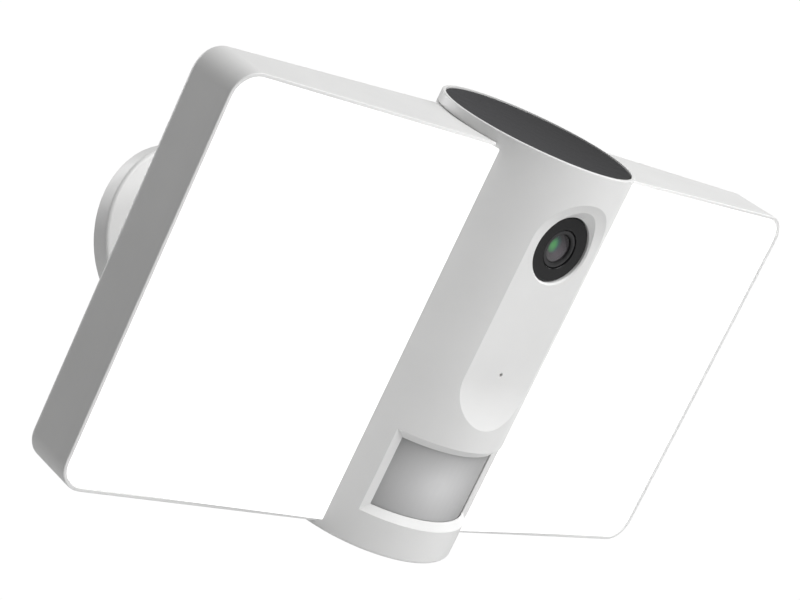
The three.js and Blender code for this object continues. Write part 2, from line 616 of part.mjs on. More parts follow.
// The panel seen from the front, drawn in by an inset, as a slab that runs right through.
function outline(inset) {
  const x = halfWidth - inset;
  const z = halfHeight - inset;
  const r = Math.max(PANEL.corner - inset, 1);
  const shape = new THREE.Shape();
  shape.moveTo(-x + r, -z);
  shape.lineTo(x - r, -z);
  shape.absarc(x - r, -z + r, r, -Math.PI / 2, 0);
  shape.lineTo(x, z - r);
  shape.absarc(x - r, z - r, r, 0, Math.PI / 2);
  shape.lineTo(-x + r, z);
  shape.absarc(-x + r, z - r, r, Math.PI / 2, Math.PI);
  shape.lineTo(-x, -z + r);
  shape.absarc(-x + r, -z + r, r, Math.PI, 1.5 * Math.PI);
  const options = { depth: EXTENT, bevelEnabled: false, curveSegments: 7 };
  const geometry = new THREE.ExtrudeGeometry(shape, options).rotateX(Math.PI / 2);
  return moved(geometry, 0, EXTENT / 2, 0);
}

// One wing's slice between two depths behind the swept front. `proud` bows the near face forward at
// the column. A null depth means the swept back of the housing, less `backWall`.
function slice(side, from, to, { proud = 0, backWall = 0 } = {}) {
  const x = side * halfWidth;
  const middleFrom = -PANEL.frontBow + from - proud;
  const endTo = to === null ? PANEL.endDepth - backWall : to;
  const middleTo = to === null ? PANEL.endDepth + PANEL.backBow - backWall : to - PANEL.frontBow;
  const plan = [[0, middleFrom], [x, from], [x, endTo], [0, middleTo]];
  return extrudedZ(side > 0 ? plan : plan.reverse(), -EXTENT, EXTENT);
}

function wingSlab(side, inset, from, to, options = {}) {
  return outline(inset).intersect(slice(side, from, to, options));
}

function wingPiece(side, inset, from, to, options = {}) {
  const clear = column(COLUMN.radius + GAP + (options.fromColumn ?? 0), -EXTENT, EXTENT);
  return wingSlab(side, inset, from, to, options).subtract(clear);
}

// The wall steps in to a ledge that the diffuser rests on, inside a thin front lip.
function housing(side) {
  const shell = wingPiece(side, 0, 0, null);
  const recess = wingSlab(side, RIM, -EXTENT / 4, wingDepths().gasket);
  const cavity = wingPiece(side, WALL, -EXTENT / 4, null, { backWall: WALL, fromColumn: WALL });
  return shell.subtract(recess).subtract(cavity).subtract(wingScrewHoles());
}

// A closed band inside the housing's wall, seen from the front, between two depths.
function band(side, width, from, to) {
  const inset = WALL + GAP;
  const hole = wingPiece(side, inset + width, -EXTENT / 4, EXTENT / 4, { fromColumn: inset + width });
  return wingPiece(side, inset, from, to, { fromColumn: inset }).subtract(hole);
}

function ledBoard(side) {
  const depths = wingDepths();
  const inset = WALL + LED_BOARD.margin;
  const fromColumn = WALL + LED_BOARD.margin;
  let board = wingPiece(side, inset, depths.board, depths.board + LED_BOARD.depth, { fromColumn });
  const x0 = COLUMN.radius + CHIP.fromColumn;
  const x1 = halfWidth - CHIP.fromEdge;
  const z1 = halfHeight - CHIP.fromEdge;
  const half = CHIP.size / 2;
  for (let i = 0; i < CHIP.columns; i++) {
    const x = side * (x0 + ((x1 - x0) * i) / (CHIP.columns - 1));
    const face = depths.board - PANEL.frontBow * (1 - Math.abs(x) / halfWidth);
    for (let j = 0; j < CHIP.rows; j++) {
      const z = -z1 + (2 * z1 * j) / (CHIP.rows - 1);
      const chip = box(x - half, x + half, face - CHIP.depth, face + CHIP.sunk, z - half, z + half);
      board = board.add(chip);
    }
  }
  return board;
}

// Front of each layer at a wing's end, from the diffuser back.
function wingDepths() {
  const gasket = DIFFUSER.sunk + DIFFUSER.depth + GAP;
  const frame = gasket + GASKET.depth + GAP;
  const reflector = frame + FRAME.depth + GAP;
  const board = reflector + REFLECTOR.depth + GAP;
  const plate = board + LED_BOARD.depth + GAP;
  return { gasket, frame, reflector, board, plate };
}

function addWing(side, label) {
  const depths = wingDepths();
  add(headPieces, `${label}_housing`, housing(side), WHITE);
  const diffuserTo = DIFFUSER.sunk + DIFFUSER.depth;
  const diffuser = wingPiece(side, RIM + GAP, DIFFUSER.sunk, diffuserTo, { proud: DIFFUSER.proud });
  add(headPieces, `${label}_diffuser`, diffuser, GLOW);
  const gasket = band(side, GASKET.width, depths.gasket, depths.gasket + GASKET.depth);
  add(headPieces, `${label}_gasket`, gasket, RUBBER);
  const frame = band(side, FRAME.width, depths.frame, depths.frame + FRAME.depth);
  add(headPieces, `${label}_retaining_frame`, frame, TRIM);
  const reflector = band(side, REFLECTOR.wall, depths.reflector, depths.reflector + REFLECTOR.depth);
  add(headPieces, `${label}_reflector`, reflector, REFLECTIVE);
  add(headPieces, `${label}_led_board`, ledBoard(side), REFLECTIVE);
  const plateInset = WALL + HEAT_PLATE.margin;
  const plateTo = depths.plate + HEAT_PLATE.depth;
  const plateClear = { fromColumn: WALL + HEAT_PLATE.margin };
  const plate = wingPiece(side, plateInset, depths.plate, plateTo, plateClear);
  add(headPieces, `${label}_heat_plate`, plate, ALUMINIUM);
  for (const [height, z] of [["lower", -WING_SCREW.z], ["upper", WING_SCREW.z]]) {
    const wallX = Math.sqrt(columnInner ** 2 - (WING_SCREW.y - COLUMN.y - WING_SCREW.head) ** 2);
    const seat = Math.sqrt(columnInner ** 2 - (WING_SCREW.y - COLUMN.y + WING_SCREW.head) ** 2) - GAP;
    const reach = wallX + WING_SCREW.length;
    const ends = (a, b) => (side > 0 ? [a, b] : [-b, -a]);
    const headEnd = barX(WING_SCREW.head, ...ends(seat - WING_SCREW.headDepth, seat), WING_SCREW.y, z);
    const shank = barX(WING_SCREW.radius, ...ends(seat - 1, reach), WING_SCREW.y, z, 16);
    add(headPieces, `${label}_wing_screw_${height}`, headEnd.add(shank), STEEL);
  }
}

addBase();
addArm();
addKnuckle();
addColumn();
addCamera();
addElectronics();
addService();
addWing(-1, "left");
addWing(1, "right");

export default lamp;
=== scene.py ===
"""Floodlight security camera: a wall base, a swivelling arm, a tilt knuckle and a lamp head with two
lit wings either side of a camera column. Metres, in the frame's own axes: +Y into the wall, +Z up, +X right.
Head pieces are modelled in the head's own axes (x right, y back, z up, y = 0 at the wings' outer front
edges) and set in place by HEAD."""

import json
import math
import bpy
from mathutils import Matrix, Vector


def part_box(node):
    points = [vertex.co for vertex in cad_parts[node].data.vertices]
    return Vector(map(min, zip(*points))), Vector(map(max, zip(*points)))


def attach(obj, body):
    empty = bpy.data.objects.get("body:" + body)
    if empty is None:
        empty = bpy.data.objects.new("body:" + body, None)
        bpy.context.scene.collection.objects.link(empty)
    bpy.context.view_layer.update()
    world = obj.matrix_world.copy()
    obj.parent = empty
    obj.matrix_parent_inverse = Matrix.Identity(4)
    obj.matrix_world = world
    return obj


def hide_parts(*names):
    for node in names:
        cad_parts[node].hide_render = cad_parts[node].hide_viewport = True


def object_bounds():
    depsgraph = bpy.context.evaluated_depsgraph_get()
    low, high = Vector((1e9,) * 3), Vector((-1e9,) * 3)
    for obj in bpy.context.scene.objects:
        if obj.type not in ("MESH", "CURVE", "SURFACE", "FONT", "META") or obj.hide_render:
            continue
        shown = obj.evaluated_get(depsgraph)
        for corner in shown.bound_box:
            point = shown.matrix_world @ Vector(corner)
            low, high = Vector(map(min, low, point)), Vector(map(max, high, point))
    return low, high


bl_info = {
    "name": "Floodlight Security Camera",
    "version": (1, 0, 0),
    "blender": (4, 5, 0),
    "location": "View3D > Sidebar > Floodlight",
    "description": "Builds the pieces and finishes of a floodlight security camera",
    "category": "Object",
}

import bmesh
import bpy
from mathutils import Euler, Matrix, Vector

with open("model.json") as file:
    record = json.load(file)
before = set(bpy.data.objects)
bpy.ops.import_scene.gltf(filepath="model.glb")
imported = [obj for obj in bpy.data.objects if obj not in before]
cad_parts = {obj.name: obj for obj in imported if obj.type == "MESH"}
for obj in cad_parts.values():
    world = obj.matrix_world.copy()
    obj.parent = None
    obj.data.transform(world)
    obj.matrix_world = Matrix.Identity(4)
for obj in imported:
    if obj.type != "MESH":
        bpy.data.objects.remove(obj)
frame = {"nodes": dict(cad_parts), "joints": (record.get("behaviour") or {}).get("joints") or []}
CAD_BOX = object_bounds()

# ---------------------------------------------------------------- places from the frame

JOINTS = {joint["name"]: joint for joint in frame["joints"]}
PIVOT = Vector(JOINTS["head_tilt"]["pos_m"])
PRESS = JOINTS["reset_press"]["axis"]
TILT = math.atan2(-PRESS[1], PRESS[2])
FROM_PIVOT = Matrix.Translation(PIVOT) @ Matrix.Rotation(TILT, 4, "X")


def points_in(place, node):
    """A node's vertices in the axes of a placing matrix."""
    back = place.inverted()
    return [back @ vertex.co for vertex in frame["nodes"][node].data.vertices]


def box_in(place, node):
    """Lowest and highest corner of a node in the axes of a placing matrix."""
    points = points_in(place, node)
    low = Vector(min(point[axis] for point in points) for axis in range(3))
    high = Vector(max(point[axis] for point in points) for axis in range(3))
    return low, high


def front_edge():
    """Depth of the wings' outer front edges from the tilt axis."""
    points = points_in(FROM_PIVOT, "right_housing")
    outermost = max(point.x for point in points)
    return min(point.y for point in points if point.x > outermost - 1e-5)


HEAD = FROM_PIVOT @ Matrix.Translation((0, front_edge(), 0))
WALL = Matrix.Identity(4)


def head_box(node):
    return box_in(HEAD, node)


HOUSING = head_box("right_housing")
DIFFUSER = head_box("right_diffuser")
FRONT_SHELL = head_box("column_front_shell")
REAR_SHELL = head_box("column_rear_shell")
TOP_COVER = head_box("top_cover")
CAP = head_box("cap_disc")
MOTION_LENS = head_box("motion_lens")
BEZEL = head_box("lens_bezel")
BARREL = head_box("lens_barrel")
GLASS = head_box("lens_glass")
FLAP = head_box("service_flap")
BUTTON = head_box("reset_button")
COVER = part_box("base_cover")
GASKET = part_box("wall_gasket")
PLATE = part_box("wall_plate")
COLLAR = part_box("swivel_collar")
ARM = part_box("arm_stem")
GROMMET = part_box("cable_grommet")

ALONG_Y = Matrix.Rotation(-math.pi / 2, 4, "X")
ALONG_X = Matrix.Rotation(math.pi / 2, 4, "Y")
FAR = 0.3  # reaches past every piece, for cutters
FINE = 192  # sides of a large round
ROUND = 64  # sides of a small round
PAST = 0.001  # how far a cutter runs past a face that it opens
OPENED = 0.004  # how far the window's slanted cutter runs past the column's face

# small sizes that other pieces don't follow
GAP = 0.0003
WING_SCREW_HOLE = 0.002
NECK_SCREW_HOLE = 0.0023
SPEAKER_HOLES = 6
SPEAKER_HOLE = 0.0012
SPEAKER_CIRCLE = 0.0055
POCKET_MARGIN = 0.002
LID_WALL = 0.0018
BARREL_STEPS = 3
BARREL_STEP = 0.00008
BARREL_LAND = 0.0009
DOME_STEPS = 12
DOME_RISE = 0.00025
FLAP_THICKNESS = 0.0018
FLAP_PIN_HOLE = 0.0008
FLANGE_RADIUS = 0.021
FLANGE_DEPTH = 0.006
WASHER_RADIUS = 0.0085
BOLT_HEAD = 0.0065
HEX_KEY = 0.0026
NUT_CORNER = 0.0072
NUT_TURNED = 0.0074
NUT_CHAMFER = 0.0008
ARM_TAPER = 0.006
TONGUE_LEAD = 0.003
WIRE_BORE = 0.004
WIRE_BORE_LENGTH = 0.064
GRIPS = 24
GRIP_RADIUS = 0.0011
GRIP_INSET = 0.0012
SEAL_WIDTH = 0.0042
WIRE_HOLE = 0.0075
WIRE_HEIGHT = 0.02
SLOT_FROM_MIDDLE = 0.025
SLOT_HALF = (0.0026, 0.0066)
GROMMET_BORE = 0.0045
GROMMET_NECK = 0.0072

# ---------------------------------------------------------------- sizes and colours


def length(name, description, default):
    return bpy.props.FloatProperty(
        name=name, description=description, default=default, unit="LENGTH", precision=5
    )


def angle(name, description, degrees):
    return bpy.props.FloatProperty(
        name=name, description=description, default=math.radians(degrees), subtype="ANGLE"
    )


def colour(name, description, default):
    return bpy.props.FloatVectorProperty(
        name=name, description=description, default=default, subtype="COLOR", size=3, min=0, max=1
    )


class WingSizes(bpy.types.PropertyGroup):
    """Sizes of the two lit wings"""

    gap: length("Gap", "Clearance between neighbouring pieces", GAP)
    wall: length("Wall", "Wall of the plastic housings", 0.0024)
    half_width: length("Half width", "Middle of the head to a wing's end", HOUSING[1].x)
    half_height: length("Half height", "Middle of the head to a wing's top", HOUSING[1].z)
    end_depth: length("End depth", "Front to back at a wing's end", 0.0216)
    front_bow: length("Front sweep", "How far the middle stands in front of the ends", 0.0076)
    back_bow: length("Back sweep", "How far the back's middle stands behind its ends", 0.0087)
    corner: length("Corner", "Round of the outline's corners", 0.0095)
    back_round: length("Back round", "Round of the housing's back edges", 0.0022)
    lip: length("Lip", "Width of the housing's front lip", HOUSING[1].x - DIFFUSER[1].x - GAP)
    lip_round: length("Lip round", "Round of the lip's outer edge", 0.0004)
    ledge: length("Ledge", "Depth of the ledge behind the diffuser", 0.0033)
    sunk: length("Sunk", "How far the diffuser's end stands behind the lip", 0.0004)
    diffuser_depth: length("Diffuser depth", "Thickness of the light diffuser", 0.0026)
    diffuser_proud: length("Diffuser bow", "How far the diffuser bows forward at the column", 0.0026)


class ColumnSizes(bpy.types.PropertyGroup):
    """Sizes of the camera column"""

    radius: length("Radius", "Outside of the column", REAR_SHELL[1].x)
    y: length("Axis depth", "Column axis behind the wings' front edges", REAR_SHELL[1].y - REAR_SHELL[1].x)
    low: length("Low end", "Bottom of the column", REAR_SHELL[0].z)
    top: length("Top end", "Top of the rear shell, level with the wings", REAR_SHELL[1].z)
    collar_top: length("Collar top", "Top of the front shell's round collar", FRONT_SHELL[1].z)
    collar_round: length("Collar round", "Round of the collar's outer edge", 0.0004)
    foot_round: length("Foot round", "Round of the column's bottom edge", 0.0011)
    pocket_half: length("Pocket half width", "Half the width of the flat pocket", 0.0165)
    pocket_low: length("Pocket low end", "Lower end of the pocket", -0.0207)
    pocket_high: length("Pocket high end", "Upper end of the pocket", 0.0648)
    pocket_wall: length("Pocket wall", "Wall behind the pocket's floor", 0.0022)
    bore_chamfer: length("Bore chamfer", "Chamfer of the lens bore", 0.00055)
    pin_hole: length("Microphone hole", "Radius of the microphone's hole", 0.0007)
    pin_z: length("Microphone height", "Height of the microphone's hole", -0.001)
    window_low: length("Window low", "Lower edge of the motion window", -0.0607)
    window_high: length("Window high", "Upper edge of the motion window", -0.0292)
    window_half: angle("Window half angle", "Half the sweep of the motion window", 47.7)
    window_bevel: length("Window bevel", "Depth of the window's slanted sides", 0.002)
    window_slant: length("Window slant", "Width of the window's slanted sides", 0.0027)
    window_lens: length("Window lens", "Thickness of the motion lens", 0.0016)
    cap_rim: length("Cap rim", "Width of the collar's white rim around the cap", 0.0012)
    lid: length("Lid", "Thickness of the lid that carries the cap", 0.0015)


class CameraSizes(bpy.types.PropertyGroup):
    """Sizes of the camera lens"""

    z: length("Lens height", "Height of the lens axis", (BEZEL[0].z + BEZEL[1].z) / 2)
    radius: length("Bezel radius", "Outside of the black bezel", BEZEL[1].x)
    face: length("Bezel face", "Depth of the bezel's face", BEZEL[0].y)
    back: length("Bezel back", "Depth of the bezel's back", BEZEL[1].y)
    ring: length("Ring radius", "Outside of the lens barrel", BARREL[1].x)
    glass: length("Glass radius", "Outside of the front lens", GLASS[1].x)


class MountSizes(bpy.types.PropertyGroup):
    """Sizes of the tilt knuckle, the arm and the wall base"""

    pivot: length("Pivot", "Tilt axis behind the wings' front edges", -front_edge())
    knuckle: length("Knuckle radius", "Round end of the lugs and tongue", 0.013)
    tongue: length("Tongue", "Thickness of the arm's tongue", 0.012)
    lug: length("Lug", "Thickness of each lug", 0.006)
    bolt: length("Bolt radius", "Shank of the tilt bolt", 0.004)
    stem: length("Stem radius", "Outside of the arm", 0.009)
    root: length("Root radius", "Outside of the arm's root", 0.011)
    root_length: length("Root length", "Length of the thick root in front of the base", 0.02)
    base: length("Base radius", "Outside of the base cover", COVER[1].x)
    base_depth: length("Base depth", "Depth of the cover's rim", 0.0086)
    base_wall: length("Base wall", "Wall of the base cover", 0.0022)
    hub: length("Hub radius", "Foot of the cone around the arm", 0.025)
    hub_top: length("Hub top", "Front of the cone around the arm", 0.021)


class Colours(bpy.types.PropertyGroup):
    """Colours of the finishes"""

    white: colour("White", "Moulded white plastic", (0.78, 0.78, 0.775))
    trim: colour("Trim", "Brighter white of the trim pieces", (0.86, 0.86, 0.855))
    cap: colour("Cap", "Dark satin cap", (0.029, 0.029, 0.031))
    black: colour("Black", "Gloss black of the bezel", (0.0075, 0.0075, 0.008))
    barrel: colour("Barrel", "Matt black of the lens barrel", (0.028, 0.028, 0.029))
    satin: colour("Satin black", "Inner blocks and the reset button", (0.02, 0.02, 0.021))
    frosted: colour("Frosted", "Frosted motion lens", (0.45, 0.45, 0.452))
    rubber: colour("Rubber", "Dark rubber", (0.035, 0.035, 0.037))
    steel: colour("Steel", "Zinc plated steel", (0.56, 0.565, 0.575))
    aluminium: colour("Aluminium", "Rolled aluminium", (0.66, 0.665, 0.675))
    board: colour("Board", "Solder mask of the circuit boards", (0.012, 0.11, 0.05))


# ---------------------------------------------------------------- shapes


def round_edges(bm, test, radius, segments=4):
    """Rounds every edge whose two ends pass the test."""
    edges = [edge for edge in bm.edges if test(edge.verts[0].co, edge.verts[1].co)]
    bmesh.ops.bevel(
        bm,
        geom=edges,
        offset=radius,
        offset_type="OFFSET",
        segments=segments,
        profile=0.5,
        affect="EDGES",
        material=-1,
        clamp_overlap=True,
    )
    return bm


def placed(bm, matrix):
    bmesh.ops.transform(bm, matrix=matrix, verts=bm.verts)
    return bm


def along_x(bm, y=0.0, z=0.0):
    """Lays a shape made about Z along X, at a depth and a height."""
    return placed(bm, Matrix.Translation((0, y, z)) @ ALONG_X)


def along_y(bm, z=0.0):
    """Lays a shape made about Z along Y, at a height."""
    return placed(bm, Matrix.Translation((0, 0, z)) @ ALONG_Y)


def spun(profile, sides=FINE, rounds=()):
    """A (radius, height) profile turned about Z. It closes on itself unless both ends are on the axis.
    Each round is (index of the profile's point, radius)."""
    bm = bmesh.new()
    verts = [bm.verts.new((radius, 0, height)) for radius, height in profile]
    solid = profile[0][0] == 0 and profile[-1][0] == 0
    following = verts[1:] if solid else verts[1:] + verts[:1]
    edges = [bm.edges.new(pair) for pair in zip(verts, following)]
    bmesh.ops.spin(
        bm, geom=verts + edges, cent=(0, 0, 0), axis=(0, 0, 1), angle=2 * math.pi, steps=sides, use_merge=True
    )
    bmesh.ops.remove_doubles(bm, verts=bm.verts, dist=1e-6)
    bmesh.ops.recalc_face_normals(bm, faces=bm.faces)
    for index, radius in rounds:
        at = profile[index]

        def on_ring(*ends):
            return all(
                abs(math.hypot(co.x, co.y) - at[0]) < 2e-6 and abs(co.z - at[1]) < 2e-6 for co in ends
            )

        round_edges(bm, on_ring, radius)
    return bm


def rod(radius, low, high, sides=ROUND, chamfer=0.0):
    rounds = ((1, chamfer), (2, chamfer)) if chamfer else ()
    return spun([(0, low), (radius, low), (radius, high), (0, high)], sides, rounds)


def tube(outer, inner, low, high, sides=ROUND, chamfer=0.0):
    rounds = ((1, chamfer), (2, chamfer)) if chamfer else ()
    return spun([(inner, low), (outer, low), (outer, high), (inner, high)], sides, rounds)


def block(low, high):
    """A box between two corners."""
    bm = bmesh.new()
    bmesh.ops.create_cube(bm, size=1)
    low, high = Vector(low), Vector(high)
    bmesh.ops.scale(bm, vec=high - low, verts=bm.verts)
    bmesh.ops.translate(bm, vec=(high + low) / 2, verts=bm.verts)
    return bm


def prism(outline, along):
    """A flat outline of points pulled along a vector."""
    bm = bmesh.new()
    face = bm.faces.new([bm.verts.new(point) for point in outline])
    pulled = bmesh.ops.extrude_face_region(bm, geom=[face], use_keep_orig=True)["geom"]
    moved = [item for item in pulled if isinstance(item, bmesh.types.BMVert)]
    bmesh.ops.translate(bm, vec=along, verts=moved)
    bmesh.ops.recalc_face_normals(bm, faces=bm.faces)
    return bm


def scratch_object(bm):
    mesh = bpy.data.meshes.new("scratch")
    bm.to_mesh(mesh)
    bm.free()
    made = bpy.data.objects.new("scratch", mesh)
    bpy.context.scene.collection.objects.link(made)
    return made


def combined(bm, operation, tools):
    """A shape after an exact boolean with each tool in turn."""
    base = scratch_object(bm)
    cutters = [scratch_object(tool) for tool in tools]
    for cutter in cutters:
        step = base.modifiers.new("step", "BOOLEAN")
        step.solver = "EXACT"
        step.operation = operation
        step.object = cutter
    bpy.context.view_layer.update()
    evaluated = base.evaluated_get(bpy.context.evaluated_depsgraph_get())
    mesh = bpy.data.meshes.new_from_object(evaluated)
    result = bmesh.new()
    result.from_mesh(mesh)
    bpy.data.meshes.remove(mesh)
    for used in [base, *cutters]:
        bpy.data.meshes.remove(used.data)
    bmesh.ops.remove_doubles(result, verts=result.verts, dist=1e-6)
    bmesh.ops.dissolve_degenerate(result, edges=result.edges, dist=1e-6)
    return result


def less(bm, *tools):
    return combined(bm, "DIFFERENCE", tools)


def joined(bm, *tools):
    return combined(bm, "UNION", tools)


def shared(bm, *tools):
    return combined(bm, "INTERSECT", tools)


def add_piece(name, bm, place, body, material, nodes, crease=32):
    """Sets a finished shape in place as a piece that rides on a body and stands for its CAD nodes."""
    placed(bm, place)
    limit = math.radians(crease)
    for face in bm.faces:
        face.smooth = True
    for edge in bm.edges:
        edge.smooth = len(edge.link_faces) == 2 and edge.calc_face_angle(0) < limit
    mesh = bpy.data.meshes.new(name)
    bm.to_mesh(mesh)
    bm.free()
    mesh.materials.append(material)
    made = bpy.data.objects.new(name, mesh)
    bpy.context.scene.collection.objects.link(made)
    normals = made.modifiers.new("flat faces stay flat", "WEIGHTED_NORMAL")
    normals.keep_sharp = True
    normals.weight = 80
    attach(made, body)
    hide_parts(*nodes)
    return made


# ---------------------------------------------------------------- finishes


class Nodes:
    """A new material's node tree, with its shader and the object's own coordinates."""

    def __init__(self, name):
        self.material = bpy.data.materials.new(name)
        self.material.use_nodes = True
        self.tree = self.material.node_tree
        self.shader = self.tree.nodes["Principled BSDF"]
        self.place = self.tree.nodes.new("ShaderNodeTexCoord").outputs["Object"]

    def node(self, kind, inputs=(), **settings):
        made = self.tree.nodes.new(kind)
        for key, value in settings.items():
            setattr(made, key, value)
        for key, value in dict(inputs).items():
            self.join(value, made.inputs[key])
        return made

    def join(self, value, socket):
        if isinstance(value, bpy.types.NodeSocket):
            self.tree.links.new(value, socket)
        else:
            socket.default_value = value

    def set(self, **inputs):
        for key, value in inputs.items():
            self.join(value, self.shader.inputs[key.replace("_", " ")])

    def moved(self, location=(0, 0, 0), rotation=(0, 0, 0), scale=(1, 1, 1)):
        """The object's coordinates turned and stretched for a pattern."""
        mapping = self.node(
            "ShaderNodeMapping",
            {"Vector": self.place, "Location": location, "Rotation": rotation, "Scale": scale},
        )
        return mapping.outputs["Vector"]

    def noise(self, scale, detail=2.0, rough=0.5, vector=None):
        made = self.node(
            "ShaderNodeTexNoise",
            {"Vector": vector or self.place, "Scale": scale, "Detail": detail, "Roughness": rough},
        )
        return made.outputs["Fac"]

    def ranged(self, value, low, high, start=0.3, end=0.7):
        """A 0 to 1 pattern taken to another range."""
        made = self.node(
            "ShaderNodeMapRange",
            {"Value": value, "From Min": start, "From Max": end, "To Min": low, "To Max": high},
        )
        return made.outputs["Result"]

    def blend(self, factor, first, second):
        made = self.node("ShaderNodeMix", data_type="RGBA")
        self.join(factor, made.inputs["Factor"])
        self.join(first, made.inputs[6])
        self.join(second, made.inputs[7])
        return made.outputs[2]

    def spot(self, centre, radii, full=0.75):
        """A round patch in the head's own axes: 0 at its edge, rising to 1 near its centre."""
        mapped = self.node(
            "ShaderNodeMapping",
            {"Vector": self.place, "Location": centre, "Rotation": (TILT, 0, 0), "Scale": radii},
            vector_type="TEXTURE",
        )
        shape = self.node("ShaderNodeTexGradient", {"Vector": mapped.outputs[0]}, gradient_type="SPHERICAL")
        return self.ranged(shape.outputs["Fac"], 0, 1, 0.0, full)

    def bump(self, height, distance, strength=1.0):
        made = self.node("ShaderNodeBump", {"Height": height, "Distance": distance, "Strength": strength})
        self.join(made.outputs["Normal"], self.shader.inputs["Normal"])


def rgba(value, factor=1.0):
    return (value[0] * factor, value[1] * factor, value[2] * factor, 1.0)


def moulded(name, base, roughness, grain, depth, mottle=0.03, specular=0.5):
    """Moulded plastic: a fine spark grain, broad roughness drift and a faint colour drift."""
    nodes = Nodes(name)
    broad = nodes.noise(38, 3)
    nodes.set(
        Base_Color=nodes.blend(nodes.ranged(broad, 0, 1), rgba(base, 1 - mottle), rgba(base, 1 + mottle / 3)),
        Roughness=nodes.ranged(nodes.noise(grain / 6, 4, 0.6), roughness - 0.04, roughness + 0.05),
        Specular_IOR_Level=specular,
    )
    nodes.bump(nodes.noise(grain, 2, 0.6), depth)
    return nodes.material


def opal(name):
    """The lit diffuser: opal acrylic that glows almost evenly."""
    nodes = Nodes(name)
    glow = nodes.ranged(nodes.noise(26, 2), 0.98, 1.0)
    nodes.set(
        Base_Color=(0.9, 0.9, 0.9, 1),
        Roughness=nodes.ranged(nodes.noise(300, 2), 0.38, 0.46),
        Emission_Color=nodes.blend(glow, (0.9, 0.95, 1.0, 1), (1, 1, 1, 1)),
        Emission_Strength=0.6,
    )
    nodes.bump(nodes.noise(2200, 2), 0.00002)
    return nodes.material


def satin_cap(name, base):
    """Dark satin cap: fine spark grain, with a soft painted sheen that makes it a little lighter towards one
    side.
    """
    nodes = Nodes(name)
    grain = nodes.noise(4200, 2, 0.7)
    # painted sheen: a reflection painted into the colour, lighter towards the cap's left end
    painted_sheen_side = nodes.spot(HEAD @ Vector((-0.045, (CAP[0].y + CAP[1].y) / 2, CAP[1].z)), (0.085, 1, 1))
    sheen = nodes.blend(painted_sheen_side, rgba(base, 0.5), rgba(base, 1.5))
    nodes.set(
        Base_Color=nodes.blend(nodes.ranged(grain, 0.7, 1.0), rgba(base, 0.6), sheen),
        Roughness=nodes.ranged(nodes.noise(240, 3), 0.46, 0.56),
        Specular_IOR_Level=0.45,
    )
    nodes.bump(grain, 0.00003)
    return nodes.material


def gloss_black(name, base):
    """Polished black acrylic with a faint polish haze."""
    nodes = Nodes(name)
    nodes.set(
        Base_Color=nodes.blend(nodes.ranged(nodes.noise(160, 3), 0, 1), rgba(base, 0.9), rgba(base, 1.15)),
        Roughness=nodes.ranged(nodes.noise(700, 4), 0.14, 0.2),
        Specular_IOR_Level=0.35,
    )
    nodes.bump(nodes.noise(900, 2), 0.000004)
    return nodes.material


def coated_glass(name, sizes):
    """Dark front lens with a painted coating reflection that turns from green through violet to black across
    the glass.
    """
    nodes = Nodes(name)

    def patch(x, z, radius_x, radius_z):
        return nodes.spot(HEAD @ Vector((x, sizes.face, sizes.z + z)), (radius_x, 1, radius_z))

    dark = (0.027, 0.025, 0.027, 1)
    # painted reflection: violet, teal and green patches laid over the dark glass colour
    violet = nodes.blend(patch(0.0006, -0.0012, 0.005, 0.005), dark, (0.06, 0.048, 0.06, 1))
    teal = nodes.blend(patch(-0.0022, 0.0011, 0.0029, 0.0036), violet, (0.02, 0.085, 0.08, 1))
    green = nodes.blend(patch(-0.003, 0.0008, 0.0023, 0.003), teal, (0.055, 0.29, 0.075, 1))
    nodes.set(Base_Color=green, Roughness=0.05, Specular_IOR_Level=0.6, Coat_Weight=0.6, Coat_Roughness=0.03)
    nodes.bump(nodes.noise(400, 2), 0.000002)
    return nodes.material


def frosted(name, base):
    """Frosted motion lens: milky, with painted light in its middle that fades to painted shade at its edges,
    and fine upright facets.
    """
    nodes = Nodes(name)
    middle = (MOTION_LENS[0] + MOTION_LENS[1]) / 2
    # painted light and shade: lightest in the middle, darker towards the window's edges
    painted_light_middle = nodes.spot(HEAD @ Vector((-0.0055, middle.y, middle.z)), (0.032, 1, 0.027), 0.9)
    facets = nodes.node(
        "ShaderNodeTexWave",
        {"Vector": nodes.place, "Scale": 110, "Distortion": 0.0},
        bands_direction="X",
    ).outputs["Fac"]
    nodes.set(
        Base_Color=nodes.blend(painted_light_middle, rgba(base, 0.57), rgba(base, 1.47)),
        Roughness=nodes.ranged(nodes.noise(900, 3), 0.5, 0.62),
    )
    nodes.bump(facets, 0.00001)
    return nodes.material


def brushed(name, base, roughness, stretch, scale):
    """Drawn or rolled metal with fine lines along one axis."""
    nodes = Nodes(name)
    lines = nodes.noise(scale, 3, 0.7, nodes.moved(scale=stretch))
    nodes.set(
        Base_Color=nodes.blend(nodes.ranged(lines, 0, 1), rgba(base, 0.9), rgba(base, 1.06)),
        Metallic=1.0,
        Roughness=nodes.ranged(lines, roughness - 0.06, roughness + 0.08),
    )
    nodes.bump(lines, 0.000008)
    return nodes.material


def circuit(name, base):
    """Solder mask with a pattern of darker and lighter tracks under it."""
    nodes = Nodes(name)
    tracks = nodes.node(
        "ShaderNodeTexVoronoi", {"Vector": nodes.place, "Scale": 260, "Randomness": 0.7}, distance="MANHATTAN"
    ).outputs["Distance"]
    nodes.set(
        Base_Color=nodes.blend(nodes.ranged(tracks, 0, 1, 0.35, 0.45), rgba(base), rgba(base, 1.7)),
        Roughness=nodes.ranged(nodes.noise(500, 2), 0.3, 0.42),
    )
    nodes.bump(tracks, 0.00003)
    return nodes.material


def rubbery(name, base):
    """Matt elastomer with a fine dimpled skin."""
    nodes = Nodes(name)
    skin = nodes.noise(1800, 3, 0.6)
    nodes.set(
        Base_Color=nodes.blend(nodes.ranged(nodes.noise(60, 3), 0, 1), rgba(base, 0.85), rgba(base, 1.2)),
        Roughness=nodes.ranged(skin, 0.72, 0.85),
        Specular_IOR_Level=0.3,
    )
    nodes.bump(skin, 0.00004)
    return nodes.material


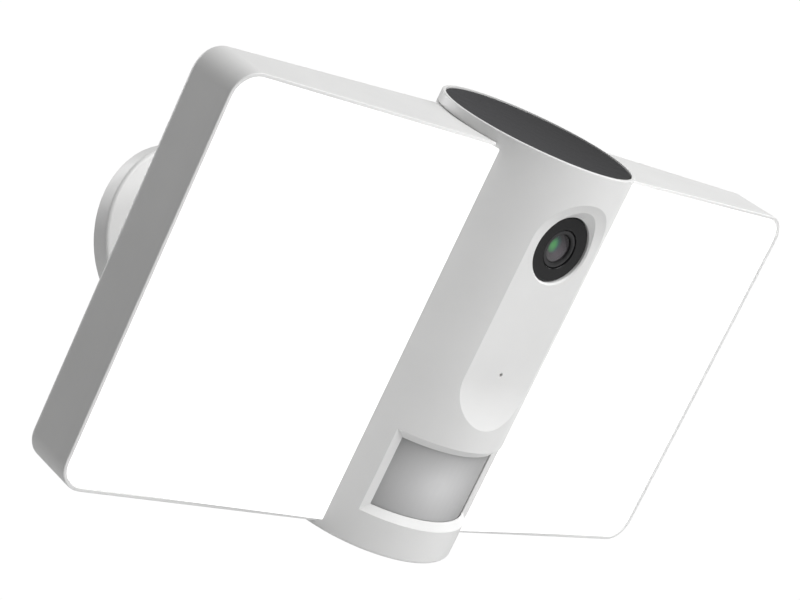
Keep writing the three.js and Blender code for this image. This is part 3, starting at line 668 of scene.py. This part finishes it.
MAKERS = {
    "white_plastic": lambda c, s: moulded("white_plastic", c.white, 0.46, 1500, 0.000012),
    "trim_plastic": lambda c, s: moulded("trim_plastic", c.trim, 0.4, 1700, 0.000008, 0.015),
    "white_metal": lambda c, s: moulded("white_metal", c.white, 0.42, 700, 0.00003, 0.02),
    "reflective": lambda c, s: moulded("reflective", c.trim, 0.55, 900, 0.00001, 0.01),
    "satin_black": lambda c, s: moulded("satin_black", c.satin, 0.5, 1500, 0.00002, 0.1),
    "barrel_black": lambda c, s: moulded("barrel_black", c.barrel, 0.6, 1500, 0.000008, 0.05),
    "diffuser": lambda c, s: opal("diffuser"),
    "cap_plastic": lambda c, s: satin_cap("cap_plastic", c.cap),
    "black_plastic": lambda c, s: gloss_black("black_plastic", c.black),
    "lens_glass": lambda c, s: coated_glass("lens_glass", s),
    "frosted_lens": lambda c, s: frosted("frosted_lens", c.frosted),
    "rubber": lambda c, s: rubbery("rubber", c.rubber),
    "steel": lambda c, s: brushed("steel", c.steel, 0.34, (1, 8, 1), 500),
    "aluminium": lambda c, s: brushed("aluminium", c.aluminium, 0.38, (1, 1, 12), 300),
    "board": lambda c, s: circuit("board", c.board),
}


def finish(name):
    """The finish of that name, made the first time that it is asked for."""
    if name not in bpy.data.materials or "finish" not in bpy.data.materials[name]:
        scene = bpy.context.scene
        material = MAKERS[name](scene.lamp_colours, scene.lamp_camera)
        material["finish"] = True
        return material
    return bpy.data.materials[name]


# ---------------------------------------------------------------- wings


def swept_depth(sizes, x, depth, bow):
    """Depth at x of a surface that lies `depth` back at the wing's end and bows by `bow` at the middle."""
    return depth + bow * (1 - x / sizes.half_width)


def wing_block(sizes, side, inset, front, back, proud=0.0, back_bow=None):
    """One wing's outline, drawn in by an inset, between two depths. The back is parallel to the swept
    front unless it has a bow of its own."""
    end = sizes.half_width - inset
    high = sizes.half_height - inset
    front_bow = -sizes.front_bow
    back_bow = front_bow if back_bow is None else back_bow
    outline = [
        (0, swept_depth(sizes, 0, front, front_bow - proud), -high),
        (side * end, swept_depth(sizes, end, front, front_bow - proud), -high),
        (side * end, swept_depth(sizes, end, back, back_bow), -high),
        (0, swept_depth(sizes, 0, back, back_bow), -high),
    ]
    bm = prism(outline, (0, 0, 2 * high))
    corner = max(sizes.corner - inset, 0.001)

    def at_corner(a, b):
        outer = min(abs(a.x), abs(b.x)) > end - 1e-6
        return outer and abs(a.z - b.z) < 1e-6 and abs(a.y - b.y) > 1e-6

    return round_edges(bm, at_corner, corner, 14)


def round_rim(bm, sizes, depth, bow, radius, segments=4):
    """Rounds the outline's edges where they meet one swept face, away from the column."""

    def on_rim(a, b):
        flat = all(abs(co.y - swept_depth(sizes, abs(co.x), depth, bow)) < 5e-6 for co in (a, b))
        return flat and max(abs(a.x), abs(b.x)) > 1e-6

    return round_edges(bm, on_rim, radius, segments)


def column_rod(sizes, radius, low=-FAR, high=FAR, sides=FINE, **options):
    return placed(rod(radius, low, high, sides, **options), Matrix.Translation((0, sizes.y, 0)))


def wing_pieces(side, label, wing, column):
    """The housing and diffuser of one wing."""
    clear = column.radius + wing.gap
    shell = wing_block(wing, side, 0, 0, wing.end_depth, back_bow=wing.back_bow)
    round_rim(shell, wing, wing.end_depth, wing.back_bow, wing.back_round, 5)
    round_rim(shell, wing, 0, -wing.front_bow, wing.lip_round, 3)
    cavity_back = wing.end_depth - wing.wall
    cavity = wing_block(wing, side, wing.wall, -0.05, cavity_back, back_bow=wing.back_bow)
    cavity = less(cavity, column_rod(column, clear + wing.wall))
    recess = wing_block(wing, side, wing.lip, -0.05, wing.ledge)
    holes = []
    for height in ("lower", "upper"):
        low, high = head_box(f"{label}_wing_screw_{height}")
        middle = (low + high) / 2
        hole = rod(WING_SCREW_HOLE, 0, high.x - low.x + column.radius, 24)
        turn = Matrix.Rotation(side * math.pi / 2, 4, "Y")
        holes.append(placed(hole, Matrix.Translation((0, middle.y, middle.z)) @ turn))
    shell = less(shell, recess, cavity, column_rod(column, clear), *holes)
    name = f"{label}_housing"
    add_piece(f"{name}_shell", shell, HEAD, "lamp_head", finish("white_plastic"), [name])

    back = wing.sunk + wing.diffuser_depth
    sheet = wing_block(wing, side, wing.lip + wing.gap, wing.sunk, back, proud=wing.diffuser_proud)
    round_rim(sheet, wing, wing.sunk, -wing.front_bow - wing.diffuser_proud, 0.0003, 2)
    sheet = less(sheet, column_rod(column, clear))
    name = f"{label}_diffuser"
    add_piece(f"{name}_sheet", sheet, HEAD, "lamp_head", finish("diffuser"), [name])


class FLOODLIGHT_OT_wings(bpy.types.Operator):
    """Build the housing and diffuser of both wings"""

    bl_idname = "floodlight.wings"
    bl_label = "Wings"

    def execute(self, context):
        scene = context.scene
        for side, label in ((-1, "left"), (1, "right")):
            wing_pieces(side, label, scene.lamp_wings, scene.lamp_column)
        return {"FINISHED"}


# ---------------------------------------------------------------- column


def pocket_floor(sizes):
    return sizes.y - math.sqrt(sizes.radius**2 - sizes.pocket_half**2)


def pocket_cutter(sizes, steps=20):
    """The pocket's flat floor, which runs out through the column's face along a half circle at each end."""
    low = sizes.pocket_low + sizes.pocket_half
    high = sizes.pocket_high - sizes.pocket_half
    flat = sizes.radius**2 - sizes.pocket_half**2
    reach = sizes.pocket_half + 0.003
    half = sizes.pocket_half + POCKET_MARGIN

    def floor_at(offset):
        return sizes.y - math.sqrt(flat + offset**2)

    shares = [step / steps for step in range(steps + 1)]
    side = [(-half, floor_at(reach * (1 - share)), low - reach * (1 - share)) for share in shares]
    side += [(-half, floor_at(reach * share), high + reach * share) for share in shares]
    front = sizes.y - sizes.radius - 0.005
    side += [(-half, front, high + reach), (-half, front, low - reach)]
    return prism(side, (2 * half, 0, 0))


def pocket_backing(sizes):
    half = sizes.pocket_half + POCKET_MARGIN
    back = pocket_floor(sizes) + sizes.pocket_wall
    slab = block((-half, -FAR, sizes.pocket_low), (half, back, sizes.pocket_high))
    return shared(slab, column_rod(sizes, sizes.radius - 0.0005))


def wedge_plan(sizes, radius, half, outer):
    """A plan seen from above: the sector behind `radius`, opening out along the slant to `outer`."""

    def at(turn, distance):
        return (distance * math.sin(turn), sizes.y - distance * math.cos(turn), 0)

    slope = sizes.window_slant / sizes.window_bevel
    lean = (outer - radius) * slope / radius
    past = outer + OPENED
    wide = half + OPENED * slope / radius
    far = past + 0.02
    front = sizes.y - far
    right = [at(half - lean, radius * 0.4), at(half - lean, radius), at(half, outer), at(wide, past)]
    left = [(-x, y, z) for x, y, z in reversed(right)]
    return [*right, (far, front, 0), (-far, front, 0), *left]


def window_cutter(sizes):
    """The window's opening, which narrows inwards on all four sides."""
    outer = sizes.radius
    land = outer - sizes.window_bevel
    low = sizes.window_low + sizes.window_slant
    high = sizes.window_high - sizes.window_slant
    past = sizes.window_slant * (1 + OPENED / sizes.window_bevel)
    opened = outer + OPENED
    ring = spun([(0, low), (land, low), (opened, low - past), (opened, high + past), (land, high), (0, high)])
    plan = wedge_plan(sizes, land, sizes.window_half, outer)
    plan = placed(prism(plan, (0, 0, 0.06)), Matrix.Translation((0, 0, low - 0.012)))
    return shared(placed(ring, Matrix.Translation((0, sizes.y, 0))), plan)


def column_tube(sizes, wall, top, top_round=0.0):
    shell = column_rod(sizes, sizes.radius, sizes.low, top)

    def outer_ring(a, b, z):
        level = all(abs(co.z - z) < 1e-6 for co in (a, b))
        return level and min(math.hypot(co.x, co.y - sizes.y) for co in (a, b)) > sizes.radius * 0.9

    round_edges(shell, lambda a, b: outer_ring(a, b, sizes.low), sizes.foot_round, 6)
    if top_round:
        round_edges(shell, lambda a, b: outer_ring(a, b, top), top_round, 5)
    return less(shell, column_rod(sizes, sizes.radius - wall, sizes.low + wall, top + PAST))


def front_shell(column, camera, wing):
    tube_shell = column_tube(column, wing.wall, column.collar_top, column.collar_round)
    shell = joined(tube_shell, pocket_backing(column))
    rear_half = block((-FAR, column.y - wing.gap / 2, -FAR), (FAR, FAR, column.top + wing.gap))
    rebate = column_rod(column, column.radius - column.cap_rim, TOP_COVER[1].z, FAR)
    floor = pocket_floor(column)
    bore = camera.radius + wing.gap
    opened = bore + column.bore_chamfer
    bore_cutter = spun(
        [
            (0, column.y - 0.002), (bore, column.y - 0.002), (bore, floor + column.bore_chamfer),
            (opened, floor), (opened + 0.005, floor - 0.005), (0, floor - 0.005),
        ]
    )
    bore_cutter = along_y(bore_cutter, camera.z)
    pin = along_y(rod(column.pin_hole, -0.04, column.y, 32), column.pin_z)
    shell = less(shell, rear_half, rebate, pocket_cutter(column), bore_cutter, pin, window_cutter(column))
    speaker = head_box("speaker")
    centre_y = (speaker[0].y + speaker[1].y) / 2
    holes = []
    for turn in range(SPEAKER_HOLES):
        around = 2 * math.pi * turn / SPEAKER_HOLES
        spoke = (SPEAKER_CIRCLE * math.cos(around), centre_y + SPEAKER_CIRCLE * math.sin(around), 0)
        hole = rod(SPEAKER_HOLE, column.low - 0.01, speaker[0].z, 24)
        holes.append(placed(hole, Matrix.Translation(spoke)))
    return less(shell, *holes)


def rear_shell(column, wing):
    front_half = block((-FAR, -FAR, -FAR), (FAR, column.y + wing.gap / 2, FAR))
    gap = wing.gap
    opening = block(
        (FLAP[0].x - gap, FLAP[0].y - gap, column.low - 0.01),
        (FLAP[1].x + gap, FLAP[1].y + gap, column.low + wing.wall + PAST),
    )
    pin_box = head_box("flap_pin")
    pin_at = (pin_box[0] + pin_box[1]) / 2
    pin = rod(FLAP_PIN_HOLE, pin_box[0].x - 0.0006, pin_box[1].x + 0.0006, 24)
    pin = along_x(pin, pin_at.y, pin_at.z)
    cutters = [front_half, opening, pin]
    for height in ("lower", "upper"):
        low, high = head_box(f"right_wing_screw_{height}")
        hole = rod(WING_SCREW_HOLE, -0.05, 0.05, 24)
        middle = (low + high) / 2
        cutters.append(along_x(hole, middle.y, middle.z))
        low, high = head_box(f"neck_screw_{height}")
        hole = rod(NECK_SCREW_HOLE, column.y, 0.06, 24)
        cutters.append(along_y(hole, (low.z + high.z) / 2))
    return less(column_tube(column, wing.wall, column.top), *cutters)


class FLOODLIGHT_OT_column(bpy.types.Operator):
    """Build the column's front and rear shells"""

    bl_idname = "floodlight.column"
    bl_label = "Column shells"

    def execute(self, context):
        scene = context.scene
        column, camera, wing = scene.lamp_column, scene.lamp_camera, scene.lamp_wings
        white = finish("white_plastic")
        front = front_shell(column, camera, wing)
        add_piece("front_shell", front, HEAD, "lamp_head", white, ["column_front_shell"], 20)
        rear = rear_shell(column, wing)
        add_piece("rear_shell", rear, HEAD, "lamp_head", white, ["column_rear_shell"])
        return {"FINISHED"}


class FLOODLIGHT_OT_top_cover(bpy.types.Operator):
    """Build the lid in the collar and the dark cap disc on it"""

    bl_idname = "floodlight.top_cover"
    bl_label = "Lid and cap"

    def execute(self, context):
        scene = context.scene
        column, wing = scene.lamp_column, scene.lamp_wings
        at = HEAD @ Matrix.Translation((0, column.y, 0))
        low, top = TOP_COVER[0].z, TOP_COVER[1].z
        under = top - column.lid
        outer = TOP_COVER[1].x
        inner = outer - LID_WALL
        lid = spun(
            [(0, under), (inner, under), (inner, low), (outer, low), (outer, top), (0, top)],
            FINE,
            ((3, 0.0004),),
        )
        trim = finish("trim_plastic")
        add_piece("lid", lid, at, "lamp_head", trim, ["top_cover"])
        radius = column.radius - column.cap_rim - wing.gap
        disc = rod(radius, CAP[0].z, CAP[1].z, FINE, 0.0002)
        add_piece("cap", disc, at, "lamp_head", finish("cap_plastic"), ["cap_disc"])
        return {"FINISHED"}


class FLOODLIGHT_OT_motion_lens(bpy.types.Operator):
    """Build the curved frosted lens behind the motion window"""

    bl_idname = "floodlight.motion_lens"
    bl_label = "Motion lens"

    def execute(self, context):
        scene = context.scene
        column, wing = scene.lamp_column, scene.lamp_wings
        outer = column.radius - wing.wall - wing.gap
        low, high = MOTION_LENS[0].z, MOTION_LENS[1].z
        ring = tube(outer, outer - column.window_lens, low, high, FINE)
        ring = placed(ring, Matrix.Translation((0, column.y, 0)))
        half = column.window_half + math.radians(2)
        sector = prism(wedge_plan(column, outer, half, outer), (0, 0, 0.06))
        sector = placed(sector, Matrix.Translation((0, 0, low - 0.01)))
        lens = shared(ring, sector)
        frosted_finish = finish("frosted_lens")
        add_piece("motion_window", lens, HEAD, "lamp_head", frosted_finish, ["motion_lens"])
        return {"FINISHED"}


class FLOODLIGHT_OT_camera(bpy.types.Operator):
    """Build the camera's bezel, stepped barrel and front lens"""

    bl_idname = "floodlight.camera"
    bl_label = "Camera lens"

    def execute(self, context):
        scene = context.scene
        camera, wing = scene.lamp_camera, scene.lamp_wings
        at = HEAD @ Matrix.Translation((0, 0, camera.z)) @ ALONG_Y
        inner = camera.ring + wing.gap
        face = camera.face
        drop = BARREL[0].y
        bezel = spun(
            [
                (inner, drop), (inner + 0.0002, face), (camera.radius, face), (camera.radius, camera.back),
                (inner, camera.back),
            ],
            FINE,
            ((1, 0.0001), (2, 0.0004)),
        )
        add_piece("bezel", bezel, at, "lamp_head", finish("black_plastic"), ["lens_bezel"])
        hole = camera.glass + wing.gap
        steps = [(camera.ring, drop)]
        for step in range(BARREL_STEPS):
            width = hole + (camera.ring - BARREL_LAND - hole) * (1 - step / BARREL_STEPS)
            depth = drop + BARREL_STEP * (step + 1)
            steps += [(width, depth - BARREL_STEP), (width, depth)]
        barrel = spun([*steps, (hole, steps[-1][1]), (hole, BARREL[1].y), (camera.ring, BARREL[1].y)], 128)
        add_piece("barrel", barrel, at, "lamp_head", finish("barrel_black"), ["lens_barrel"])
        dome = [(0, GLASS[0].y)]
        for step in range(1, DOME_STEPS + 1):
            share = step / DOME_STEPS
            dome.append((camera.glass * share, GLASS[0].y + DOME_RISE * share * share))
        glass = spun([*dome, (camera.glass, GLASS[1].y), (0, GLASS[1].y)], 96)
        add_piece("front_lens", glass, at, "lamp_head", finish("lens_glass"), ["lens_glass"])
        return {"FINISHED"}


# ---------------------------------------------------------------- service flap and button


class FLOODLIGHT_OT_service(bpy.types.Operator):
    """Build the service flap and the reset button behind it"""

    bl_idname = "floodlight.service"
    bl_label = "Service flap and button"

    def execute(self, context):
        pin = head_box("flap_pin")
        centre = (pin[0] + pin[1]) / 2
        radius = FLAP[1].y - centre.y
        low, high = FLAP
        plate = block(low, (high.x, centre.y, low.z + FLAP_THICKNESS))

        def front_corner(a, b):
            return abs(a.z - b.z) > 1e-4 and max(a.y, b.y) < low.y + 1e-6

        round_edges(plate, front_corner, 0.0016, 6)

        def outer_rim(a, b):
            return max(a.z, b.z) < low.z + 1e-6

        round_edges(plate, outer_rim, 0.0003, 2)
        barrel = along_x(rod(radius, low.x, high.x, 40), centre.y, centre.z)
        hole = along_x(rod(FLAP_PIN_HOLE, low.x - 0.01, high.x + 0.01, 24), centre.y, centre.z)
        nail = placed(rod(0.0035, -0.002, 0.0008, 40), Matrix.Translation((0, low.y - 0.0022, low.z)))
        flap = less(joined(plate, barrel), hole, nail)
        rubber = finish("rubber")
        add_piece("flap", flap, HEAD, "service_flap", rubber, ["service_flap"])

        low, high = BUTTON
        middle = (low + high) / 2
        button = rod((high.x - low.x) / 2, low.z, high.z, 40, 0.0003)
        button = placed(button, Matrix.Translation((middle.x, middle.y, 0)))
        black = finish("satin_black")
        add_piece("button", button, HEAD, "reset_button", black, ["reset_button"])
        return {"FINISHED"}


# ---------------------------------------------------------------- knuckle


def eye(half_width, radius, to, half_height, edge):
    """A knuckle's ear: a disc about X with a square root that runs back to `to`."""
    disc = along_x(rod(radius, -half_width, half_width, 96, edge))
    start, end = sorted((0.0, to))
    root = block((-half_width, start, -half_height), (half_width, end, half_height))

    def along_root(a, b):
        return abs(a.y - b.y) > 1e-4

    round_edges(root, along_root, edge, 3)
    return joined(disc, root)


class FLOODLIGHT_OT_knuckle(bpy.types.Operator):
    """Build the neck socket with its two lugs, the tilt bolt, nut and washers"""

    bl_idname = "floodlight.knuckle"
    bl_label = "Tilt knuckle"

    def execute(self, context):
        scene = context.scene
        mount, column, wing = scene.lamp_mount, scene.lamp_column, scene.lamp_wings
        flange_back = column.y + column.radius + FLANGE_DEPTH
        flange = spun(
            [(0, column.y), (FLANGE_RADIUS, column.y), (FLANGE_RADIUS, flange_back), (0, flange_back)],
            128,
            ((2, 0.0018),),
        )
        flange = along_y(flange)
        lug_outer = mount.tongue / 2 + wing.gap + mount.lug
        block_end = mount.pivot - mount.knuckle - 0.0015
        body = block((-lug_outer, column.y, -mount.knuckle), (lug_outer, block_end, mount.knuckle))

        def long_edge(a, b):
            return abs(a.y - b.y) > 1e-4

        round_edges(body, long_edge, 0.0016, 4)
        lugs = []
        for side in (-1, 1):
            lug = eye(mount.lug / 2, mount.knuckle, block_end - mount.pivot - 0.002, mount.knuckle, 0.0008)
            middle = side * (lug_outer - mount.lug / 2)
            lugs.append(placed(lug, Matrix.Translation((middle, mount.pivot, 0))))
        neck = joined(flange, body, *lugs)
        cutters = [along_x(rod(mount.bolt + wing.gap, -FAR, FAR), mount.pivot)]
        for height in ("lower", "upper"):
            low, high = head_box(f"neck_screw_{height}")
            hole = rod(NECK_SCREW_HOLE, column.y, high.y + PAST, 24)
            cutters.append(along_y(hole, (low.z + high.z) / 2))
        cutters.append(column_rod(column, column.radius + wing.gap))
        neck = less(neck, *cutters)
        white = finish("white_metal")
        add_piece("neck", neck, HEAD, "lamp_head", white, ["neck_socket"])

        at = HEAD @ Matrix.Translation((0, mount.pivot, 0)) @ ALONG_X
        steel = finish("steel")
        for label in ("left", "right"):
            low, high = head_box(f"tilt_washer_{label}")
            washer = tube(WASHER_RADIUS, mount.bolt + wing.gap, low.x, high.x, 96, 0.00025)
            add_piece(f"washer_{label}", washer, at, "lamp_head", steel, [f"tilt_washer_{label}"])
        low, high = head_box("tilt_bolt")
        head_end = head_box("tilt_washer_left")[0].x - wing.gap
        bolt = spun(
            [
                (0, low.x), (BOLT_HEAD, low.x), (BOLT_HEAD, head_end), (mount.bolt, head_end),
                (mount.bolt, high.x), (0, high.x),
            ],
            96,
            ((1, 0.0007), (2, 0.0003), (4, 0.0005)),
        )
        bolt = less(bolt, rod(HEX_KEY, low.x - PAST, low.x + 0.0024, 6))
        add_piece("bolt", bolt, at, "lamp_head", steel, ["tilt_bolt"])
        low, high = head_box("tilt_nut")
        nut = rod(NUT_CORNER, low.x, high.x, 6)
        face = NUT_TURNED - NUT_CHAMFER
        turned = spun(
            [
                (0, low.x), (face, low.x), (NUT_TURNED, low.x + NUT_CHAMFER),
                (NUT_TURNED, high.x - NUT_CHAMFER), (face, high.x), (0, high.x),
            ],
            96,
        )
        nut = less(shared(nut, turned), rod(mount.bolt + wing.gap, low.x - PAST, high.x + PAST))
        add_piece("nut", nut, at, "lamp_head", steel, ["tilt_nut"])
        return {"FINISHED"}


# ---------------------------------------------------------------- arm and base


class FLOODLIGHT_OT_arm(bpy.types.Operator):
    """Build the arm's stem with its tongue, and the swivel collar"""

    bl_idname = "floodlight.arm"
    bl_label = "Arm and collar"

    def execute(self, context):
        scene = context.scene
        mount, wing = scene.lamp_mount, scene.lamp_wings
        pivot_y = PIVOT.y
        inner = ARM[1].y
        hub_face = COVER[0].y
        root_end = hub_face - mount.root_length
        tongue_root = pivot_y + mount.knuckle + TONGUE_LEAD
        stem = spun(
            [
                (0, tongue_root), (mount.stem, tongue_root), (mount.stem, root_end - ARM_TAPER),
                (mount.root, root_end), (mount.root, inner), (0, inner),
            ],
            128,
            ((1, 0.0012), (4, 0.0006)),
        )
        stem = along_y(stem)
        tongue = eye(mount.tongue / 2, mount.knuckle, mount.knuckle + 0.007, mount.stem - 0.0006, 0.0008)
        tongue = placed(tongue, Matrix.Translation((0, pivot_y, 0)))
        bolt_hole = along_x(rod(mount.bolt + wing.gap, -FAR, FAR), pivot_y)
        bore = along_y(rod(WIRE_BORE, inner - WIRE_BORE_LENGTH, inner + PAST))
        arm = less(joined(stem, tongue), bolt_hole, bore)
        white = finish("white_metal")
        add_piece("arm_casting", arm, WALL, "arm", white, ["arm_stem"])

        low, high = COLLAR
        radius = high.x
        ring = along_y(tube(radius, mount.root + wing.gap, low.y, high.y, FINE, 0.0007))
        circle = radius + 0.0006
        grips = []
        for turn in range(GRIPS):
            around = 2 * math.pi * (turn + 0.5) / GRIPS
            grip = rod(GRIP_RADIUS, low.y + GRIP_INSET, high.y - GRIP_INSET, 16, 0.0004)
            at = Matrix.Translation((circle * math.cos(around), 0, circle * math.sin(around)))
            grips.append(placed(grip, at @ ALONG_Y))
        ring = less(ring, *grips)
        plastic = finish("white_plastic")
        add_piece("lock_ring", ring, WALL, "arm", plastic, ["swivel_collar"])
        return {"FINISHED"}


class FLOODLIGHT_OT_base(bpy.types.Operator):
    """Build the base cover, wall plate, wall gasket and cable grommet"""

    bl_idname = "floodlight.base"
    bl_label = "Wall base"

    def execute(self, context):
        scene = context.scene
        mount, wing = scene.lamp_mount, scene.lamp_wings
        face, hub_face, back = -mount.base_depth, COVER[0].y, COVER[1].y
        wall, bore = mount.base_wall, mount.root + wing.gap
        cover = spun(
            [
                (bore, hub_face), (mount.hub_top, hub_face), (mount.hub, face), (mount.base, face),
                (mount.base, back), (mount.base - wall, back), (mount.base - wall, face + wall),
                (mount.hub - wall, face + wall), (mount.hub_top - wall, hub_face + wall),
                (bore, hub_face + wall),
            ],
            FINE,
            ((1, 0.0015), (2, 0.003), (3, 0.0016)),
        )
        cover = along_y(cover)
        low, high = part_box("cover_screw")
        middle = (low + high) / 2
        hole = rod((high.x - low.x) / 2 + wing.gap, -mount.base - PAST, -mount.base + wall + PAST, 32)
        cover = less(cover, placed(hole, Matrix.Translation((0, middle.y, 0))))
        plastic = finish("white_plastic")
        add_piece("cover", cover, WALL, "wall_base", plastic, ["base_cover"])

        low, high = GASKET
        ring = along_y(tube(high.x, high.x - SEAL_WIDTH, low.y, high.y, FINE))
        rubber = finish("rubber")
        add_piece("wall_seal", ring, WALL, "wall_base", rubber, ["wall_gasket"])

        low, high = PLATE
        plate = along_y(rod(high.x, low.y, high.y, FINE, 0.0003))
        half_width, half_height = SLOT_HALF

        def slot_end(a, b):
            return abs(a.y - b.y) > 1e-4

        cutters = [along_y(rod(WIRE_HOLE, -0.01, 0.01), WIRE_HEIGHT)]
        for side in (-1, 1):
            middle = side * SLOT_FROM_MIDDLE
            slot = block((middle - half_width, -0.01, -half_height), (middle + half_width, 0.01, half_height))
            cutters.append(round_edges(slot, slot_end, half_width - 0.00001, 10))
        plate = less(plate, *cutters)
        steel = finish("steel")
        add_piece("mounting_plate", plate, WALL, "wall_base", steel, ["wall_plate"])

        low, high = GROMMET
        step = PLATE[0].y - wing.gap
        grommet = spun(
            [
                (GROMMET_BORE, low.y), (high.x, low.y), (high.x, step), (GROMMET_NECK, step),
                (GROMMET_NECK, high.y), (GROMMET_BORE, high.y),
            ],
            ROUND,
            ((0, 0.0004), (1, 0.0007), (2, 0.0004)),
        )
        at = Matrix.Translation((0, 0, WIRE_HEIGHT)) @ ALONG_Y
        add_piece("grommet", grommet, at, "wall_base", rubber, ["cable_grommet"])
        return {"FINISHED"}


# ---------------------------------------------------------------- inner pieces and stage

INNER = {
    "steel": [
        "cover_screw", "stem_retainer", "neck_screw_lower", "neck_screw_upper", "motion_sensor", "microphone",
        "flap_pin", "card_socket", "left_wing_screw_lower", "left_wing_screw_upper",
        "right_wing_screw_lower", "right_wing_screw_upper",
    ],
    "satin_black": [
        "terminal_block", "camera_body", "power_transformer", "storage_capacitor", "speaker",
    ],
    "board": ["sensor_board", "motion_board", "main_board", "driver_board", "wifi_antenna", "service_board"],
    "rubber": ["friction_washer", "left_gasket", "right_gasket"],
    "reflective": ["left_reflector", "right_reflector", "left_led_board", "right_led_board"],
    "trim_plastic": ["left_retaining_frame", "right_retaining_frame"],
    "aluminium": ["left_heat_plate", "right_heat_plate"],
}


class FLOODLIGHT_OT_inner_pieces(bpy.types.Operator):
    """Give the pieces inside the head and base their finishes"""

    bl_idname = "floodlight.inner_pieces"
    bl_label = "Inner pieces"

    def execute(self, context):
        for name, nodes in INNER.items():
            for node in nodes:
                mesh = frame["nodes"][node].data
                mesh.materials.clear()
                mesh.materials.append(finish(name))
        return {"FINISHED"}


CAMERA_PLACE = (-0.55103, -0.67242, -0.07621)
CAMERA_TURN = (94.234, -6.649, -45.964)
CAMERA_LENS = 98.65
FLOOR_BELOW = 0.6
FLOOR_SIZE = 3.2

# name, direction that the light comes from, distance, size, watts
LIGHTS = (
    ("key", (0.9, -0.45, 0.35), 1.5, 0.6, 5.5),
    ("front", (0.15, -1.0, 0.25), 1.6, 0.9, 9.0),
    ("high", (0.15, -0.8, 0.7), 1.6, 0.9, 13.5),
    ("top", (0.05, -0.15, 1.0), 1.5, 1.0, 2.5),
    ("back", (-0.2, 0.85, 0.5), 1.5, 1.0, 13.0),
)
ROOM_FILL = 0.17
BACKDROP = 1.02


class FLOODLIGHT_OT_stage(bpy.types.Operator):
    """Set the camera, the pale floor and the soft lights"""

    bl_idname = "floodlight.stage"
    bl_label = "Stage"

    def execute(self, context):
        scene = context.scene
        view = bpy.data.cameras.new("camera")
        view.lens = CAMERA_LENS
        view.sensor_width = 36
        view.clip_start = 0.05
        camera = bpy.data.objects.new("camera", view)
        camera.location = CAMERA_PLACE
        camera.rotation_euler = Euler([math.radians(turn) for turn in CAMERA_TURN], "XYZ")
        scene.collection.objects.link(camera)
        scene.camera = camera

        bm = bmesh.new()
        bmesh.ops.create_grid(bm, x_segments=2, y_segments=2, size=FLOOR_SIZE / 2)
        bmesh.ops.translate(bm, vec=(0, 0, CAD_BOX[0].z - FLOOR_BELOW), verts=bm.verts)
        mesh = bpy.data.meshes.new("floor")
        bm.to_mesh(mesh)
        bm.free()
        mesh.materials.append(moulded("floor_paper", (0.86, 0.86, 0.86), 0.8, 300, 0.00005, 0.01))
        floor = bpy.data.objects.new("floor", mesh)
        scene.collection.objects.link(floor)

        middle = (CAD_BOX[0] + CAD_BOX[1]) / 2
        for name, direction, distance, size, watts in LIGHTS:
            lamp = bpy.data.lights.new(name, "AREA")
            lamp.shape = "DISK"
            lamp.size = size
            lamp.energy = watts
            light = bpy.data.objects.new(name, lamp)
            toward = Vector(direction).normalized()
            light.location = middle + toward * distance
            light.rotation_euler = toward.to_track_quat("Z", "Y").to_euler()
            scene.collection.objects.link(light)

        world = bpy.data.worlds.new("studio")
        scene.world = world
        world.use_nodes = True
        tree = world.node_tree
        fill = tree.nodes["Background"]
        fill.inputs["Color"].default_value = (1, 1, 1, 1)
        fill.inputs["Strength"].default_value = ROOM_FILL
        backdrop = tree.nodes.new("ShaderNodeBackground")
        backdrop.inputs["Strength"].default_value = BACKDROP
        backdrop.inputs["Color"].default_value = (1, 1, 1, 1)
        path = tree.nodes.new("ShaderNodeLightPath")
        mix = tree.nodes.new("ShaderNodeMixShader")
        tree.links.new(path.outputs["Is Camera Ray"], mix.inputs["Fac"])
        tree.links.new(fill.outputs[0], mix.inputs[1])
        tree.links.new(backdrop.outputs[0], mix.inputs[2])
        tree.links.new(mix.outputs[0], tree.nodes["World Output"].inputs["Surface"])
        scene.view_settings.view_transform = "Standard"
        return {"FINISHED"}


STEPS = (
    FLOODLIGHT_OT_stage,
    FLOODLIGHT_OT_wings,
    FLOODLIGHT_OT_column,
    FLOODLIGHT_OT_top_cover,
    FLOODLIGHT_OT_motion_lens,
    FLOODLIGHT_OT_camera,
    FLOODLIGHT_OT_service,
    FLOODLIGHT_OT_knuckle,
    FLOODLIGHT_OT_arm,
    FLOODLIGHT_OT_base,
    FLOODLIGHT_OT_inner_pieces,
)


class FLOODLIGHT_PT_panel(bpy.types.Panel):
    """Lists the steps that build the lamp"""

    bl_label = "Floodlight Security Camera"
    bl_space_type = "VIEW_3D"
    bl_region_type = "UI"
    bl_category = "Floodlight"

    def draw(self, context):
        for step in STEPS:
            self.layout.operator(step.bl_idname)


GROUPS = {
    "lamp_wings": WingSizes,
    "lamp_column": ColumnSizes,
    "lamp_camera": CameraSizes,
    "lamp_mount": MountSizes,
    "lamp_colours": Colours,
}


def register():
    for made in (*GROUPS.values(), *STEPS, FLOODLIGHT_PT_panel):
        bpy.utils.register_class(made)
    for name, group in GROUPS.items():
        setattr(bpy.types.Scene, name, bpy.props.PointerProperty(type=group))


def unregister():
    for name in GROUPS:
        delattr(bpy.types.Scene, name)
    for made in (FLOODLIGHT_PT_panel, *reversed(STEPS), *GROUPS.values()):
        bpy.utils.unregister_class(made)


def main():
    register()
    for step in STEPS:
        group, name = step.bl_idname.split(".")
        getattr(getattr(bpy.ops, group), name)()


if __name__ == "__main__":
    main()
